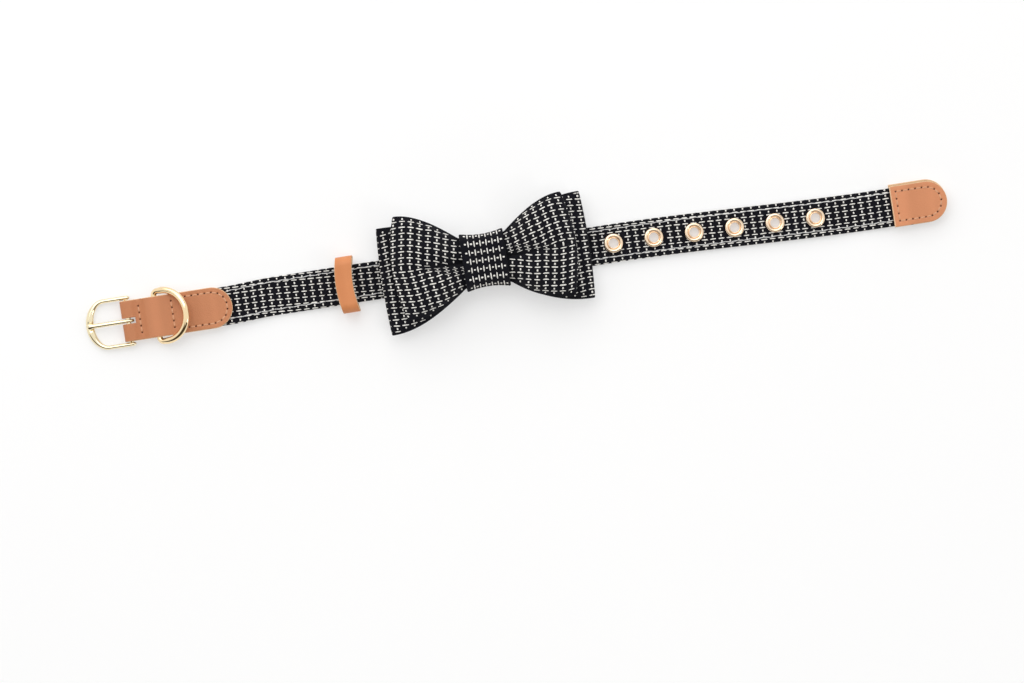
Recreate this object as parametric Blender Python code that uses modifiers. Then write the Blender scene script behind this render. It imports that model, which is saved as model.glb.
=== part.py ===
"""Pet bow tie collar: a narrow cloth strap with leather ends, a pin buckle, a leash ring,
a leather keeper, six eyelets and a two-layer cloth bow.

Metres, +Z up. The collar lies unfastened on a flat surface along X, with the buckle at -X
and the tip at +X. Places along it are measured from the middle of the bow.
"""
import math
from collections import namedtuple

import bmesh
import bpy
from mathutils import Vector

# Clearances
GAP = 0.0003
FLOOR_GAP = 0.0002

# Cloth strap
STRAP_WIDTH = 0.0156
STRAP_THICKNESS = 0.0020
STRAP_CORNER = 0.0005
STATION_STEP = 0.005
STRAP_TUCK = 0.0060

# Leather. It reaches past the strap by the overhang, and its ends are half round.
LEATHER = 0.0012
LEATHER_OVERHANG = 0.0004
BUCKLE_LEATHER_LENGTH = 0.0446
TIP_LEATHER_LENGTH = 0.0222
TIP_BACK_SHIFT = 0.0009
END_LAST_INSET = 0.00004
STITCH_DIP = 0.0011
STITCH_DIP_REACH = 0.0030
BAR_TO_STITCH_DIP = 0.0048
RING_TO_STRAP = 0.0034
SLOT_SIDE_ROOM = 0.00042
SLOT_REACH = 0.0030

# Places along the collar, from the middle of the bow
BAR_TO_BOW = 0.1444
KEEPER_TO_BOW = 0.0555
BOW_TO_FIRST_HOLE = 0.0518
BOW_TO_TIP = 0.1860

# How the strap wanders sideways towards its two ends
BUCKLE_DRIFT = 0.0009
BUCKLE_DRIFT_START = 0.085
BUCKLE_DRIFT_LENGTH = 0.020
TIP_DRIFT = 0.0029
TIP_DRIFT_START = 0.050
TIP_DRIFT_LENGTH = 0.112

# Keeper. It has room for the strap and, above it, for the free end with its two leathers.
KEEPER_WIDTH = 0.0070
KEEPER_SIDE_ROOM = 0.0023
KEEPER_CORNER = 0.0030
KEEPER_BOWING = 0.0013

# Eyelets, by their radii
HOLE_COUNT = 6
HOLE_PITCH = 0.01624
EYELET_BORE = 0.00185
EYELET_WALL = 0.00035
EYELET_FLANGE = 0.00385
EYELET_REAR_FLANGE = 0.0034
EYELET_ROLL = 0.0011
EYELET_REAR_THICKNESS = 0.0006
EYELET_SIDES = 16

# Buckle
FRAME_REACH = 0.0173
FRAME_ARM_WIDTH = 0.0017
FRAME_END_WIDTH = 0.0032
FRAME_THICKNESS = 0.0023
FRAME_ROUND = 0.0068
FRAME_ARM_TAIL = 0.0018
FRAME_TAIL_SHARE = 0.6
FRAME_SECTION_SIDES = 10

# Prong. Its shank rises to the frame's far end by PRONG_RISE of its own slope and then lies level.
PRONG_CURL_WIRE = 0.00055
PRONG_SHANK_WIRE = 0.00078
PRONG_TIP_WIRE = 0.00055
PRONG_CURL_CLEARANCE = 0.00025
PRONG_END_INSET = 0.0013
PRONG_CURL_DEGREES = 205
PRONG_SHANK_SHARES = (0.2, 0.6, 0.85)
PRONG_RISE = 1.3

# Leash ring. Its straight bar lies in the leather's channel, its arms beside the leather.
RING_CHANNEL_CLEARANCE = 0.00015
RING_SIDE_ROOM = 0.0008
RING_REACH = 0.0136
RING_CORNER = 0.0018
RING_TILT_STEP = 0.25
BAR_TO_RING = 0.0114

# Bow. The knot flares towards its two ends, and the pinched cloth spreads inside it.
BOW_WALL = 0.0013
PINCH_GAP = 0.0004
PINCH_RIDGE = 0.0024
KNOT_WALL = 0.0012
KNOT_WIDTH = 0.0176
KNOT_SIDE_ROOM = 0.0016
KNOT_FLARE = 0.0022
KNOT_SIDEWAYS = 0.0012
KNOT_BOTTOM_CORNER = 0.0012
KNOT_TOP_CORNER = 0.0040
WAIST_CLEARANCE = 0.0007

# Shapes of the wings: powers and shares of their own length, and how finely they are divided
WING_EDGE_POWER = 2.1
WING_FOLD_POWER = 6
WING_RISE_SHARE = 0.45
RIDGE_FADE_POWER = 1.2
WING_STEP_POWER = 1.8
WING_STEPS = 10
WING_COLUMNS = 12

# Lower layer of the bow
LOWER_HALF_LENGTH = 0.0423
LOWER_HALF_HEIGHT = 0.0211
LOWER_LEFT_OFFSET = -0.0014
LOWER_RIGHT_OFFSET = 0.0012
LOWER_BULGE = 0.0009
LOWER_PUFF = 0.0022

# Upper layer of the bow
UPPER_HALF_LENGTH = 0.0372
UPPER_HALF_HEIGHT = 0.0204
UPPER_LEFT_OFFSET = 0.0028
UPPER_RIGHT_OFFSET = 0.0026
UPPER_BULGE = 0.0032
UPPER_PUFF = 0.0024
UPPER_CROWN = 0.0009

# The side's middle lies off the bow's own middle by the left and right offsets, and its outline
# bulges between the corners.
Layer = namedtuple("Layer", "name half_length half_height left_offset right_offset bulge puff")
LOWER = Layer("bow_lower", LOWER_HALF_LENGTH, LOWER_HALF_HEIGHT, LOWER_LEFT_OFFSET,
              LOWER_RIGHT_OFFSET, LOWER_BULGE, LOWER_PUFF)
UPPER = Layer("bow_upper", UPPER_HALF_LENGTH, UPPER_HALF_HEIGHT, UPPER_LEFT_OFFSET,
              UPPER_RIGHT_OFFSET, UPPER_BULGE, UPPER_PUFF)

# Levels, from the floor up
STRAP_SEAT = LEATHER + GAP
EYELET_SEAT = EYELET_REAR_THICKNESS + GAP
UNDER_TOP_LEATHER = STRAP_SEAT + STRAP_THICKNESS + GAP
TOP_LEATHER_MIDDLE = UNDER_TOP_LEATHER + LEATHER / 2
STACK = UNDER_TOP_LEATHER + LEATHER
BAR_LEVEL = STACK / 2
BOW_SEAT = UNDER_TOP_LEATHER + BOW_WALL / 2
KEEPER_HEIGHT = STRAP_SEAT + STRAP_THICKNESS + STACK + GAP + LEATHER

# Widths that follow the strap's
LEATHER_WIDTH = STRAP_WIDTH + 2 * LEATHER_OVERHANG
LEATHER_ROUND = LEATHER_WIDTH / 2
KEEPER_SPAN = STRAP_WIDTH + 2 * (KEEPER_SIDE_ROOM + LEATHER)
KNOT_SPAN_MIDDLE = STRAP_WIDTH + 2 * (KNOT_SIDE_ROOM + KNOT_WALL)

# What turns or fits inside the leather
FOLD_RADIUS = BAR_LEVEL - LEATHER / 2
BAR_RADIUS = FOLD_RADIUS - LEATHER / 2 - GAP
RING_WIRE = (UNDER_TOP_LEATHER - LEATHER) / 2 - RING_CHANNEL_CLEARANCE
RING_HALF = LEATHER_WIDTH / 2 + RING_SIDE_ROOM + RING_WIRE
SLOT_WIDTH = 2 * (PRONG_SHANK_WIRE + SLOT_SIDE_ROOM)
EYELET_BARREL = EYELET_BORE + EYELET_WALL

# Places worked out from the sizes above
BAR_X = -BAR_TO_BOW
RING_X = BAR_X + BAR_TO_RING
BUCKLE_LEATHER_END = BAR_X - BAR_LEVEL + BUCKLE_LEATHER_LENGTH
STRAP_START = RING_X + RING_TO_STRAP
TIP_LEATHER_START = BOW_TO_TIP - TIP_LEATHER_LENGTH
STRAP_END = BOW_TO_TIP - STRAP_TUCK
LAST_HOLE = BOW_TO_FIRST_HOLE + (HOLE_COUNT - 1) * HOLE_PITCH
KNOT_HALF = KNOT_WIDTH / 2
WAIST_HALF = KNOT_HALF + WAIST_CLEARANCE
FRAME_ARM_Y = LEATHER_WIDTH / 2 + GAP + FRAME_ARM_WIDTH / 2

COLLAR = bpy.data.collections.new("pet_bow_tie_collar")
CUTTERS = bpy.data.collections.new("cutters")


def clear_scene():
    for item in list(bpy.data.objects):
        bpy.data.objects.remove(item, do_unlink=True)
    for group in (COLLAR, CUTTERS):
        bpy.context.scene.collection.children.link(group)


def finish(name, color, roughness, metallic=0.0):
    """A plain material: colour, roughness and metal."""
    material = bpy.data.materials.new(name)
    material.use_nodes = True
    shader = material.node_tree.nodes["Principled BSDF"]
    shader.inputs["Base Color"].default_value = (*color, 1.0)
    shader.inputs["Roughness"].default_value = roughness
    shader.inputs["Metallic"].default_value = metallic
    material.diffuse_color = (*color, 1.0)
    return material


def cloth(name):
    return finish(name, (0.045, 0.045, 0.052), 0.9)


def tan_leather(name):
    return finish(name, (0.62, 0.27, 0.13), 0.55)


def gold(name, color=(0.83, 0.66, 0.42)):
    return finish(name, color, 0.2, 1.0)


def smooth_step(share):
    share = min(1.0, max(0.0, share))
    return share * share * (3.0 - 2.0 * share)


# The way the strap lies

Rest = namedtuple("Rest", "station height")


def rests():
    """Height of the strap's underside where something carries it, and between."""
    keeper_start = -KEEPER_TO_BOW - KEEPER_WIDTH / 2 - KEEPER_BOWING
    keeper_end = -KEEPER_TO_BOW + KEEPER_WIDTH / 2
    holes_start = BOW_TO_FIRST_HOLE - EYELET_FLANGE
    holes_end = LAST_HOLE + EYELET_FLANGE
    return (
        Rest(STRAP_START, STRAP_SEAT),
        Rest(BUCKLE_LEATHER_END, STRAP_SEAT),
        Rest((BUCKLE_LEATHER_END + keeper_start) / 2, FLOOR_GAP),
        Rest(keeper_start, STRAP_SEAT),
        Rest(keeper_end, STRAP_SEAT),
        Rest((keeper_end - KNOT_HALF) / 2, FLOOR_GAP),
        Rest(-KNOT_HALF, STRAP_SEAT),
        Rest(KNOT_HALF, STRAP_SEAT),
        Rest((KNOT_HALF + holes_start) / 2, FLOOR_GAP),
        Rest(holes_start, EYELET_SEAT),
        Rest(holes_end, EYELET_SEAT),
        Rest((holes_end + TIP_LEATHER_START) / 2, FLOOR_GAP),
        Rest(TIP_LEATHER_START, STRAP_SEAT),
        Rest(STRAP_END, STRAP_SEAT),
    )


def strap_height(x):
    rows = rests()
    for before, after in zip(rows, rows[1:]):
        if x <= after.station:
            share = (x - before.station) / (after.station - before.station)
            return before.height + (after.height - before.height) * smooth_step(share)
    return rows[-1].height


def strap_sideways(x):
    to_tip = TIP_DRIFT * smooth_step((x - TIP_DRIFT_START) / TIP_DRIFT_LENGTH)
    to_buckle = BUCKLE_DRIFT * smooth_step((-BUCKLE_DRIFT_START - x) / BUCKLE_DRIFT_LENGTH)
    return -to_tip - to_buckle


# Mesh helpers

def add_object(name, data, material, group=None):
    item = bpy.data.objects.new(name, data)
    (group or COLLAR).objects.link(item)
    if material:
        data.materials.append(material)
    return item


def surface(name, rows, material, wrap_rows=False, wrap_columns=False, caps=False):
    """A mesh through rows of points, each row as long as the others."""
    mesh = bpy.data.meshes.new(name)
    builder = bmesh.new()
    grid = [[builder.verts.new(point) for point in row] for row in rows]
    row_count = len(rows)
    column_count = len(rows[0])
    for i in range(row_count if wrap_rows else row_count - 1):
        for j in range(column_count if wrap_columns else column_count - 1):
            after_i = (i + 1) % row_count
            after_j = (j + 1) % column_count
            builder.faces.new((grid[i][j], grid[i][after_j], grid[after_i][after_j], grid[after_i][j]))
    if caps:
        builder.faces.new(reversed(grid[0]))
        builder.faces.new(grid[-1])
    bmesh.ops.recalc_face_normals(builder, faces=builder.faces)
    builder.to_mesh(mesh)
    builder.free()
    mesh.shade_smooth()
    mesh.set_sharp_from_angle(angle=math.radians(40))
    return add_object(name, mesh, material)


def thicken(item, wall):
    solid = item.modifiers.new("wall", "SOLIDIFY")
    solid.thickness = wall
    solid.offset = 0.0
    solid.use_even_offset = True
    return item


def cut(item, cutter):
    cutter.hide_render = True
    cutter.display_type = "WIRE"
    boolean = item.modifiers.new("cut_" + cutter.name, "BOOLEAN")
    boolean.operation = "DIFFERENCE"
    boolean.solver = "EXACT"
    boolean.object = cutter


def fused(name, items, material):
    """One mesh from the evaluated shapes of several, joined by Boolean unions."""
    depsgraph = bpy.context.evaluated_depsgraph_get()
    bodies = []
    for item in items:
        mesh = bpy.data.meshes.new_from_object(item.evaluated_get(depsgraph))
        mesh.transform(item.matrix_world)
        bodies.append(mesh)
    base = add_object(name, bodies[0], None)
    base.data.materials.clear()
    base.data.materials.append(material)
    for mesh in bodies[1:]:
        extra = add_object("union_" + name, mesh, None, CUTTERS)
        extra.hide_render = True
        extra.display_type = "WIRE"
        union = base.modifiers.new("union", "BOOLEAN")
        union.operation = "UNION"
        union.solver = "EXACT"
        union.object = extra
    for item in items:
        bpy.data.objects.remove(item, do_unlink=True)
    return base


def cylinder(name, radius, length, centre, sides, group=CUTTERS, along_y=False):
    mesh = bpy.data.meshes.new(name)
    builder = bmesh.new()
    bmesh.ops.create_cone(builder, cap_ends=True, segments=sides, radius1=radius,
                          radius2=radius, depth=length)
    builder.to_mesh(mesh)
    builder.free()
    item = add_object(name, mesh, None, group)
    item.location = centre
    if along_y:
        item.rotation_euler.x = math.radians(90)
    return item


def wire(name, points, radius, material, cyclic=False, shares=None):
    """A round wire along points, in 8 sides. shares gives its radius at each point."""
    curve = bpy.data.curves.new(name, "CURVE")
    curve.dimensions = "3D"
    curve.bevel_depth = radius
    curve.bevel_resolution = 2
    curve.use_fill_caps = not cyclic
    spline = curve.splines.new("POLY")
    spline.points.add(len(points) - 1)
    for index, (target, point) in enumerate(zip(spline.points, points)):
        target.co = (*point, 1.0)
        target.radius = shares[index] if shares else 1.0
    spline.use_cyclic_u = cyclic
    return add_object(name, curve, material)


def rounded_strip(width, thickness, corner):
    """Section of a strap in its own plane, across and up from its underside."""
    half = width / 2
    return (
        (-half + corner, 0.0), (half - corner, 0.0), (half, corner), (half, thickness - corner),
        (half - corner, thickness), (-half + corner, thickness), (-half, thickness - corner),
        (-half, corner),
    )


def rounded_loop(half_span, bottom, top, bottom_corner, top_corner, middle=0.0, steps=4):
    """Closed loop across and up, with its own radius at the lower and the upper corners."""
    corners = (
        (half_span - bottom_corner, bottom + bottom_corner, bottom_corner, -90),
        (half_span - top_corner, top - top_corner, top_corner, 0),
        (-half_span + top_corner, top - top_corner, top_corner, 90),
        (-half_span + bottom_corner, bottom + bottom_corner, bottom_corner, 180),
    )
    points = []
    for centre_y, centre_z, radius, start in corners:
        for step in range(steps + 1):
            angle = math.radians(start + 90 * step / steps)
            points.append((middle + centre_y + radius * math.cos(angle),
                           centre_z + radius * math.sin(angle)))
    return points


# Strap and eyelets

def strap():
    count = round((STRAP_END - STRAP_START) / STATION_STEP)
    section = rounded_strip(STRAP_WIDTH, STRAP_THICKNESS, STRAP_CORNER)
    rows = []
    for index in range(count + 1):
        x = STRAP_START + (STRAP_END - STRAP_START) * index / count
        side = strap_sideways(x)
        height = strap_height(x)
        rows.append([Vector((x, side + y, height + z)) for y, z in section])
    body = surface("strap", rows, cloth("strap_cloth"), wrap_columns=True, caps=True)
    for number, x in enumerate(hole_places(), start=1):
        hole = cylinder(f"hole_{number}", EYELET_BARREL + GAP, 6 * STRAP_THICKNESS,
                        (x, strap_sideways(x), 0.0), EYELET_SIDES)
        cut(body, hole)
    return body


def hole_places():
    return [BOW_TO_FIRST_HOLE + HOLE_PITCH * index for index in range(HOLE_COUNT)]


def eyelet_profile():
    """Down the outer side from the crest of the roll, and back up the bore."""
    under_roll = EYELET_REAR_THICKNESS + GAP + STRAP_THICKNESS + GAP
    crest = under_roll + EYELET_ROLL
    middle = (EYELET_BORE + EYELET_FLANGE) / 2
    return (
        (middle, crest),
        (EYELET_FLANGE - EYELET_ROLL * 0.3, crest - EYELET_ROLL * 0.25),
        (EYELET_FLANGE, under_roll + EYELET_ROLL * 0.35),
        (EYELET_FLANGE - EYELET_ROLL * 0.1, under_roll),
        (EYELET_BARREL, under_roll),
        (EYELET_BARREL, EYELET_REAR_THICKNESS),
        (EYELET_REAR_FLANGE, EYELET_REAR_THICKNESS),
        (EYELET_REAR_FLANGE, 0.0),
        (EYELET_BORE, 0.0),
        (EYELET_BORE, crest - EYELET_ROLL * 0.5),
    )


def eyelets():
    for number, x in enumerate(hole_places(), start=1):
        mesh = bpy.data.meshes.new(f"eyelet_{number}")
        builder = bmesh.new()
        corners = [builder.verts.new((radius, 0.0, z)) for radius, z in eyelet_profile()]
        for index, corner in enumerate(corners):
            builder.edges.new((corner, corners[(index + 1) % len(corners)]))
        builder.to_mesh(mesh)
        builder.free()
        ring = add_object(f"eyelet_{number}", mesh, gold(f"eyelet_{number}_metal", (0.85, 0.52, 0.36)))
        turn = ring.modifiers.new("turn", "SCREW")
        turn.steps = EYELET_SIDES
        turn.render_steps = EYELET_SIDES
        turn.use_merge_vertices = True
        turn.merge_threshold = 0.00001
        ring.location = (x, strap_sideways(x), 0.0)


# Leather

def end_width(from_end):
    """Half the leather's width in its half-round end, from how far inside the end it is."""
    return math.sqrt(LEATHER_ROUND ** 2 - (LEATHER_ROUND - from_end) ** 2)


def across(x, z, half_width, middle, columns=6):
    return [Vector((x, middle + half_width * (2 * index / columns - 1), z))
            for index in range(columns + 1)]


def end_insets(steps=8):
    """Distances from a half-round end, close together where it turns."""
    insets = [LEATHER_ROUND * (1 - math.sin(math.radians(90 * step / steps))) for step in range(steps)]
    return insets + [END_LAST_INSET]


def stitch_dip(x):
    """How far the top face is drawn down by the stitches between the bar and the ring."""
    share = min(1.0, abs(x - BAR_X - BAR_TO_STITCH_DIP) / STITCH_DIP_REACH)
    return STITCH_DIP * math.cos(math.pi / 2 * share)


def buckle_leather():
    """One strip, folded round the buckle's bar, with the strap's end between its faces."""
    middle = strap_sideways(BAR_X)
    end = BUCKLE_LEATHER_END
    dip_x = BAR_X + BAR_TO_STITCH_DIP
    straight = [BAR_X] + [dip_x + STITCH_DIP_REACH * (step / 2 - 1) for step in range(5)]
    places = [(x, LEATHER_WIDTH / 2) for x in straight]
    for inset in end_insets():
        places.append((end - inset, end_width(inset)))
    bottom = [across(x, LEATHER / 2, half, middle) for x, half in reversed(places)]
    fold = []
    for step in range(1, 8):
        angle = math.radians(-90 - 180 * step / 8)
        fold.append(across(BAR_X + FOLD_RADIUS * math.cos(angle),
                           BAR_LEVEL + FOLD_RADIUS * math.sin(angle), LEATHER_WIDTH / 2, middle))
    top = [across(x, TOP_LEATHER_MIDDLE - stitch_dip(x), half, middle) for x, half in places]
    strip = surface("buckle_leather", bottom + fold + top, tan_leather("buckle_leather_finish"))
    thicken(strip, LEATHER)
    slot = bpy.data.meshes.new("prong_slot")
    builder = bmesh.new()
    bmesh.ops.create_cube(builder, size=1.0)
    reach = BAR_LEVEL + SLOT_REACH + GAP
    bmesh.ops.scale(builder, vec=(reach, SLOT_WIDTH, 4 * BAR_LEVEL), verts=builder.verts)
    builder.to_mesh(slot)
    builder.free()
    cutter = add_object("prong_slot", slot, None, CUTTERS)
    cutter.location = (BAR_X + SLOT_REACH - reach / 2, middle, BAR_LEVEL)
    cut(strip, cutter)
    return strip


def tip_leather(name, level, shift):
    """One face of the tip: square where the strap goes in, round at the free end."""
    middle = strap_sideways(BOW_TO_TIP) + shift
    places = [(TIP_LEATHER_START, LEATHER_WIDTH / 2)]
    for inset in end_insets():
        places.append((BOW_TO_TIP - inset, end_width(inset)))
    rows = [across(x, level, half, middle) for x, half in places]
    return thicken(surface(name, rows, tan_leather(name + "_finish")), LEATHER)


def keeper_loop():
    """A leather band round the strap, bowed a little towards the buckle."""
    wall = LEATHER / 2
    half_span = KEEPER_SPAN / 2 - wall
    loop = rounded_loop(half_span, wall, KEEPER_HEIGHT - wall, KEEPER_CORNER, KEEPER_CORNER)
    rows = []
    for step in range(3):
        x = -KEEPER_TO_BOW + KEEPER_WIDTH * (step / 2 - 0.5)
        rows.append([Vector((x - KEEPER_BOWING * (1 - (y / half_span) ** 2),
                             y + strap_sideways(x), z)) for y, z in loop])
    band = surface("keeper_loop", rows, tan_leather("keeper_leather"), wrap_columns=True)
    return thicken(band, LEATHER)


# Buckle, prong and ring

def empty_at(name, place, parent=None):
    pivot = bpy.data.objects.new(name, None)
    pivot.empty_display_size = 0.01
    COLLAR.objects.link(pivot)
    pivot.location = place
    pivot.parent = parent
    return pivot


def frame_centre_line():
    """Points down one arm, round the far end and back, with the metal's width at each."""
    end = FRAME_REACH - FRAME_END_WIDTH / 2
    turn_start = end - FRAME_ROUND
    line = []
    for step in range(3):
        line.append((FRAME_ARM_TAIL - (FRAME_ARM_TAIL + turn_start) * step / 3, FRAME_ARM_Y,
                     FRAME_ARM_WIDTH))
    steps = 16
    for step in range(steps + 1):
        angle = math.pi * step / steps
        width = FRAME_ARM_WIDTH + (FRAME_END_WIDTH - FRAME_ARM_WIDTH) * math.sin(angle) ** 2
        line.append((-turn_start - FRAME_ROUND * math.sin(angle), FRAME_ARM_Y * math.cos(angle), width))
    return line + [(x, -y, width) for x, y, width in reversed(line[:3])]


def buckle_frame(pivot):
    """A half buckle: two slim arms, a broad rounded end, and the bar inside the leather."""
    line = frame_centre_line()
    rows = []
    for index, (x, y, width) in enumerate(line):
        before = line[max(0, index - 1)]
        after = line[min(len(line) - 1, index + 1)]
        along = Vector((after[0] - before[0], after[1] - before[1], 0.0)).normalized()
        outward = Vector((along.y, -along.x, 0.0))
        tail = FRAME_TAIL_SHARE if index in (0, len(line) - 1) else 1.0
        row = []
        for side in range(FRAME_SECTION_SIDES):
            angle = 2 * math.pi * (side + 0.5) / FRAME_SECTION_SIDES
            row.append(Vector((x, y, 0.0)) + outward * (tail * width / 2 * math.cos(angle))
                       + Vector((0, 0, tail * FRAME_THICKNESS / 2 * math.sin(angle))))
        rows.append(row)
    metal = gold("buckle_metal")
    rim = surface("rim", rows, metal, wrap_columns=True, caps=True)
    bar = cylinder("bar", BAR_RADIUS, 2 * FRAME_ARM_Y, (0, 0, 0), 12, COLLAR, along_y=True)
    bpy.context.view_layer.update()
    frame = fused("buckle_frame", [rim, bar], metal)
    frame.parent = pivot
    for modifier in frame.modifiers:
        modifier.object.parent = pivot
    return frame


def prong(pivot):
    """Wire curled round the bar, then a straight shank that rests on the far end."""
    curl_radius = BAR_RADIUS + PRONG_CURL_CLEARANCE + PRONG_CURL_WIRE
    points = []
    radii = []
    steps = 12
    for step in range(steps + 1):
        angle = math.radians(90 - PRONG_CURL_DEGREES * (1 - step / steps))
        points.append((curl_radius * math.cos(angle), 0.0, curl_radius * math.sin(angle)))
        radii.append(PRONG_CURL_WIRE)
    tip_x = -(FRAME_REACH - PRONG_END_INSET)
    tip_z = FRAME_THICKNESS / 2 + GAP + PRONG_SHANK_WIRE
    for share in PRONG_SHANK_SHARES + (1.0,):
        rise = (tip_z - curl_radius) * min(1.0, PRONG_RISE * share)
        points.append((tip_x * share, 0.0, curl_radius + rise))
        radii.append(PRONG_TIP_WIRE if share == 1.0 else PRONG_SHANK_WIRE)
    shares = [radius / PRONG_SHANK_WIRE for radius in radii]
    item = wire("prong", points, PRONG_SHANK_WIRE, gold("prong_metal"), shares=shares)
    item.parent = pivot
    return item


def ring_line():
    """Centre line of the ring in its own plane: out from the bar and across."""
    bow_centre = RING_REACH - RING_HALF
    points = []
    steps = 20
    for step in range(steps + 1):
        angle = math.pi * (0.5 - step / steps)
        points.append((bow_centre + RING_HALF * math.cos(angle), RING_HALF * math.sin(angle)))
    for sign, order in ((-1, (0, 1, 2, 3)), (1, (3, 2, 1, 0))):
        for step in order:
            angle = math.radians(90 * step / 3)
            points.append((RING_CORNER * (1 - math.sin(angle)),
                           sign * (RING_HALF - RING_CORNER * (1 - math.cos(angle)))))
    return points


def ring_tilt():
    """The least slope in degrees at which the ring's wire lies clear on the leather's edge."""
    edge_y = LEATHER_WIDTH / 2
    edge_z = TOP_LEATHER_MIDDLE + LEATHER / 2 - BAR_LEVEL
    for step in range(round(90 / RING_TILT_STEP)):
        degrees = step * RING_TILT_STEP
        slope = math.sin(math.radians(degrees))
        clear = True
        for out, y in ring_line():
            beside = max(0.0, abs(y) - edge_y)
            above = out * slope - edge_z
            if out > RING_WIRE and beside < RING_WIRE + GAP:
                if above < 0 or math.hypot(beside, above) < RING_WIRE + GAP:
                    clear = clear and beside >= RING_WIRE + GAP
        if clear:
            return degrees
    return 90.0


def d_ring(pivot):
    points = [(out, y, 0.0) for out, y in ring_line()]
    item = wire("d_ring", points, RING_WIRE, gold("ring_metal", (0.80, 0.58, 0.30)), cyclic=True)
    item.rotation_euler.y = -math.radians(ring_tilt())
    item.parent = pivot
    return item


# Bow

def wing_share(layer, x):
    return min(1.0, max(0.0, (abs(x) - WAIST_HALF) / (layer.half_length - BOW_WALL / 2 - WAIST_HALF)))


def knot_span(share):
    """Outer width of the knot at a share of its half length from its middle."""
    return KNOT_SPAN_MIDDLE + KNOT_FLARE * share ** 2


def waist_half_span(x):
    """Half the pinched cloth's spread under the knot."""
    return knot_span(min(1.0, abs(x) / WAIST_HALF)) / 2 - KNOT_WALL - WAIST_CLEARANCE


def layer_half_span(layer, x):
    opening = 1.0 - (1.0 - wing_share(layer, x)) ** WING_EDGE_POWER
    waist = waist_half_span(x)
    return waist + (layer.half_height - waist) * opening


def layer_middle(layer, x):
    side = layer.right_offset if x > 0 else layer.left_offset
    return KNOT_SIDEWAYS + (side - KNOT_SIDEWAYS) * smooth_step(wing_share(layer, x))


def ridges(across_share):
    """Two ridges with a valley between, level at the valley and at both edges."""
    return (1.0 - math.cos(2 * math.pi * min(1.0, abs(across_share)))) / 2


def nest_step():
    """Height between two sheets that follow each other's ridges without touching."""
    slope = math.pi * PINCH_RIDGE / waist_half_span(0.0)
    return (BOW_WALL + GAP) * math.sqrt(1.0 + slope ** 2)


def sheet_heights(layer, share, across_share, base, pinch, ridge):
    """Back and front sheet of a flattened cloth loop above the level of its base."""
    closing = math.sqrt(max(0.0, 1.0 - share ** WING_FOLD_POWER))
    back = base + layer.puff * (1.0 - closing)
    swell = pinch - layer.puff + (2 * layer.puff - pinch) * smooth_step(share / WING_RISE_SHARE)
    front = base + layer.puff + swell * closing + ridge * ridges(across_share) * closing
    return back, front


def lower_heights(x, y):
    share = wing_share(LOWER, x)
    across_share = (y - layer_middle(LOWER, x)) / layer_half_span(LOWER, x)
    ridge = PINCH_RIDGE * (1.0 - share) ** RIDGE_FADE_POWER
    return sheet_heights(LOWER, share, across_share, BOW_SEAT, BOW_WALL + PINCH_GAP, ridge)


def upper_heights(x, y):
    share = wing_share(UPPER, x)
    across_share = (y - layer_middle(UPPER, x)) / layer_half_span(UPPER, x)
    base = lower_heights(x, y)[1] + nest_step()
    ridge = UPPER_CROWN * math.sin(math.pi * share)
    return sheet_heights(UPPER, share, across_share, base, nest_step(), ridge)


def wing_places(layer):
    """From the middle of the bow to its side fold, close together where the cloth turns."""
    reach = layer.half_length - BOW_WALL / 2 - WAIST_HALF
    places = [0.0, WAIST_HALF / 2, WAIST_HALF]
    for step in range(1, WING_STEPS + 1):
        places.append(WAIST_HALF + reach * (1.0 - (1.0 - step / WING_STEPS) ** WING_STEP_POWER))
    return places


def bow_layer(layer, heights):
    """A flattened loop of cloth, open along its upper and lower edges."""
    places = wing_places(layer)
    route = [(x, 1) for x in places]
    route += [(x, 0) for x in reversed(places[:-1])]
    route += [(-x, 0) for x in places[1:]]
    route += [(-x, 1) for x in reversed(places[1:-1])]
    rows = []
    for x, sheet in route:
        row = []
        for column in range(WING_COLUMNS + 1):
            across_share = 2 * column / WING_COLUMNS - 1
            y = layer_middle(layer, x) + layer_half_span(layer, x) * across_share
            z = heights(x, y)[sheet]
            pulled = layer.bulge * across_share ** 2 * wing_share(layer, x) ** 2
            row.append(Vector((x - math.copysign(pulled, x), y, z)))
        rows.append(row)
    loop = surface(layer.name, rows, cloth(layer.name + "_cloth"), wrap_rows=True)
    return thicken(loop, BOW_WALL)


def bow_knot():
    """The band that gathers both layers and holds them to the strap."""
    crest = upper_heights(0.0, KNOT_SIDEWAYS + waist_half_span(0.0) / 2)[1]
    top = crest + BOW_WALL / 2 + GAP + KNOT_WALL / 2
    rows = []
    stations = 6
    for step in range(stations + 1):
        share = 2 * step / stations - 1
        loop = rounded_loop((knot_span(share) - KNOT_WALL) / 2, KNOT_WALL / 2, top,
                            KNOT_BOTTOM_CORNER, KNOT_TOP_CORNER, KNOT_SIDEWAYS)
        rows.append([Vector((KNOT_HALF * share, y, z)) for y, z in loop])
    band = surface("bow_knot", rows, cloth("bow_knot_cloth"), wrap_columns=True)
    return thicken(band, KNOT_WALL)


def stand_on_origin(root):
    """Moves the collar so that its box stands centred on the world origin."""
    bpy.context.view_layer.update()
    depsgraph = bpy.context.evaluated_depsgraph_get()
    corners = []
    for item in COLLAR.objects:
        if item.type == "EMPTY":
            continue
        mesh = bpy.data.meshes.new_from_object(item.evaluated_get(depsgraph))
        corners += [item.matrix_world @ vertex.co for vertex in mesh.vertices]
        bpy.data.meshes.remove(mesh)
    low = [min(corner[axis] for corner in corners) for axis in range(3)]
    high = [max(corner[axis] for corner in corners) for axis in range(3)]
    root.location = (-(low[0] + high[0]) / 2, -(low[1] + high[1]) / 2, -low[2])
    bpy.context.view_layer.update()


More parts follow.
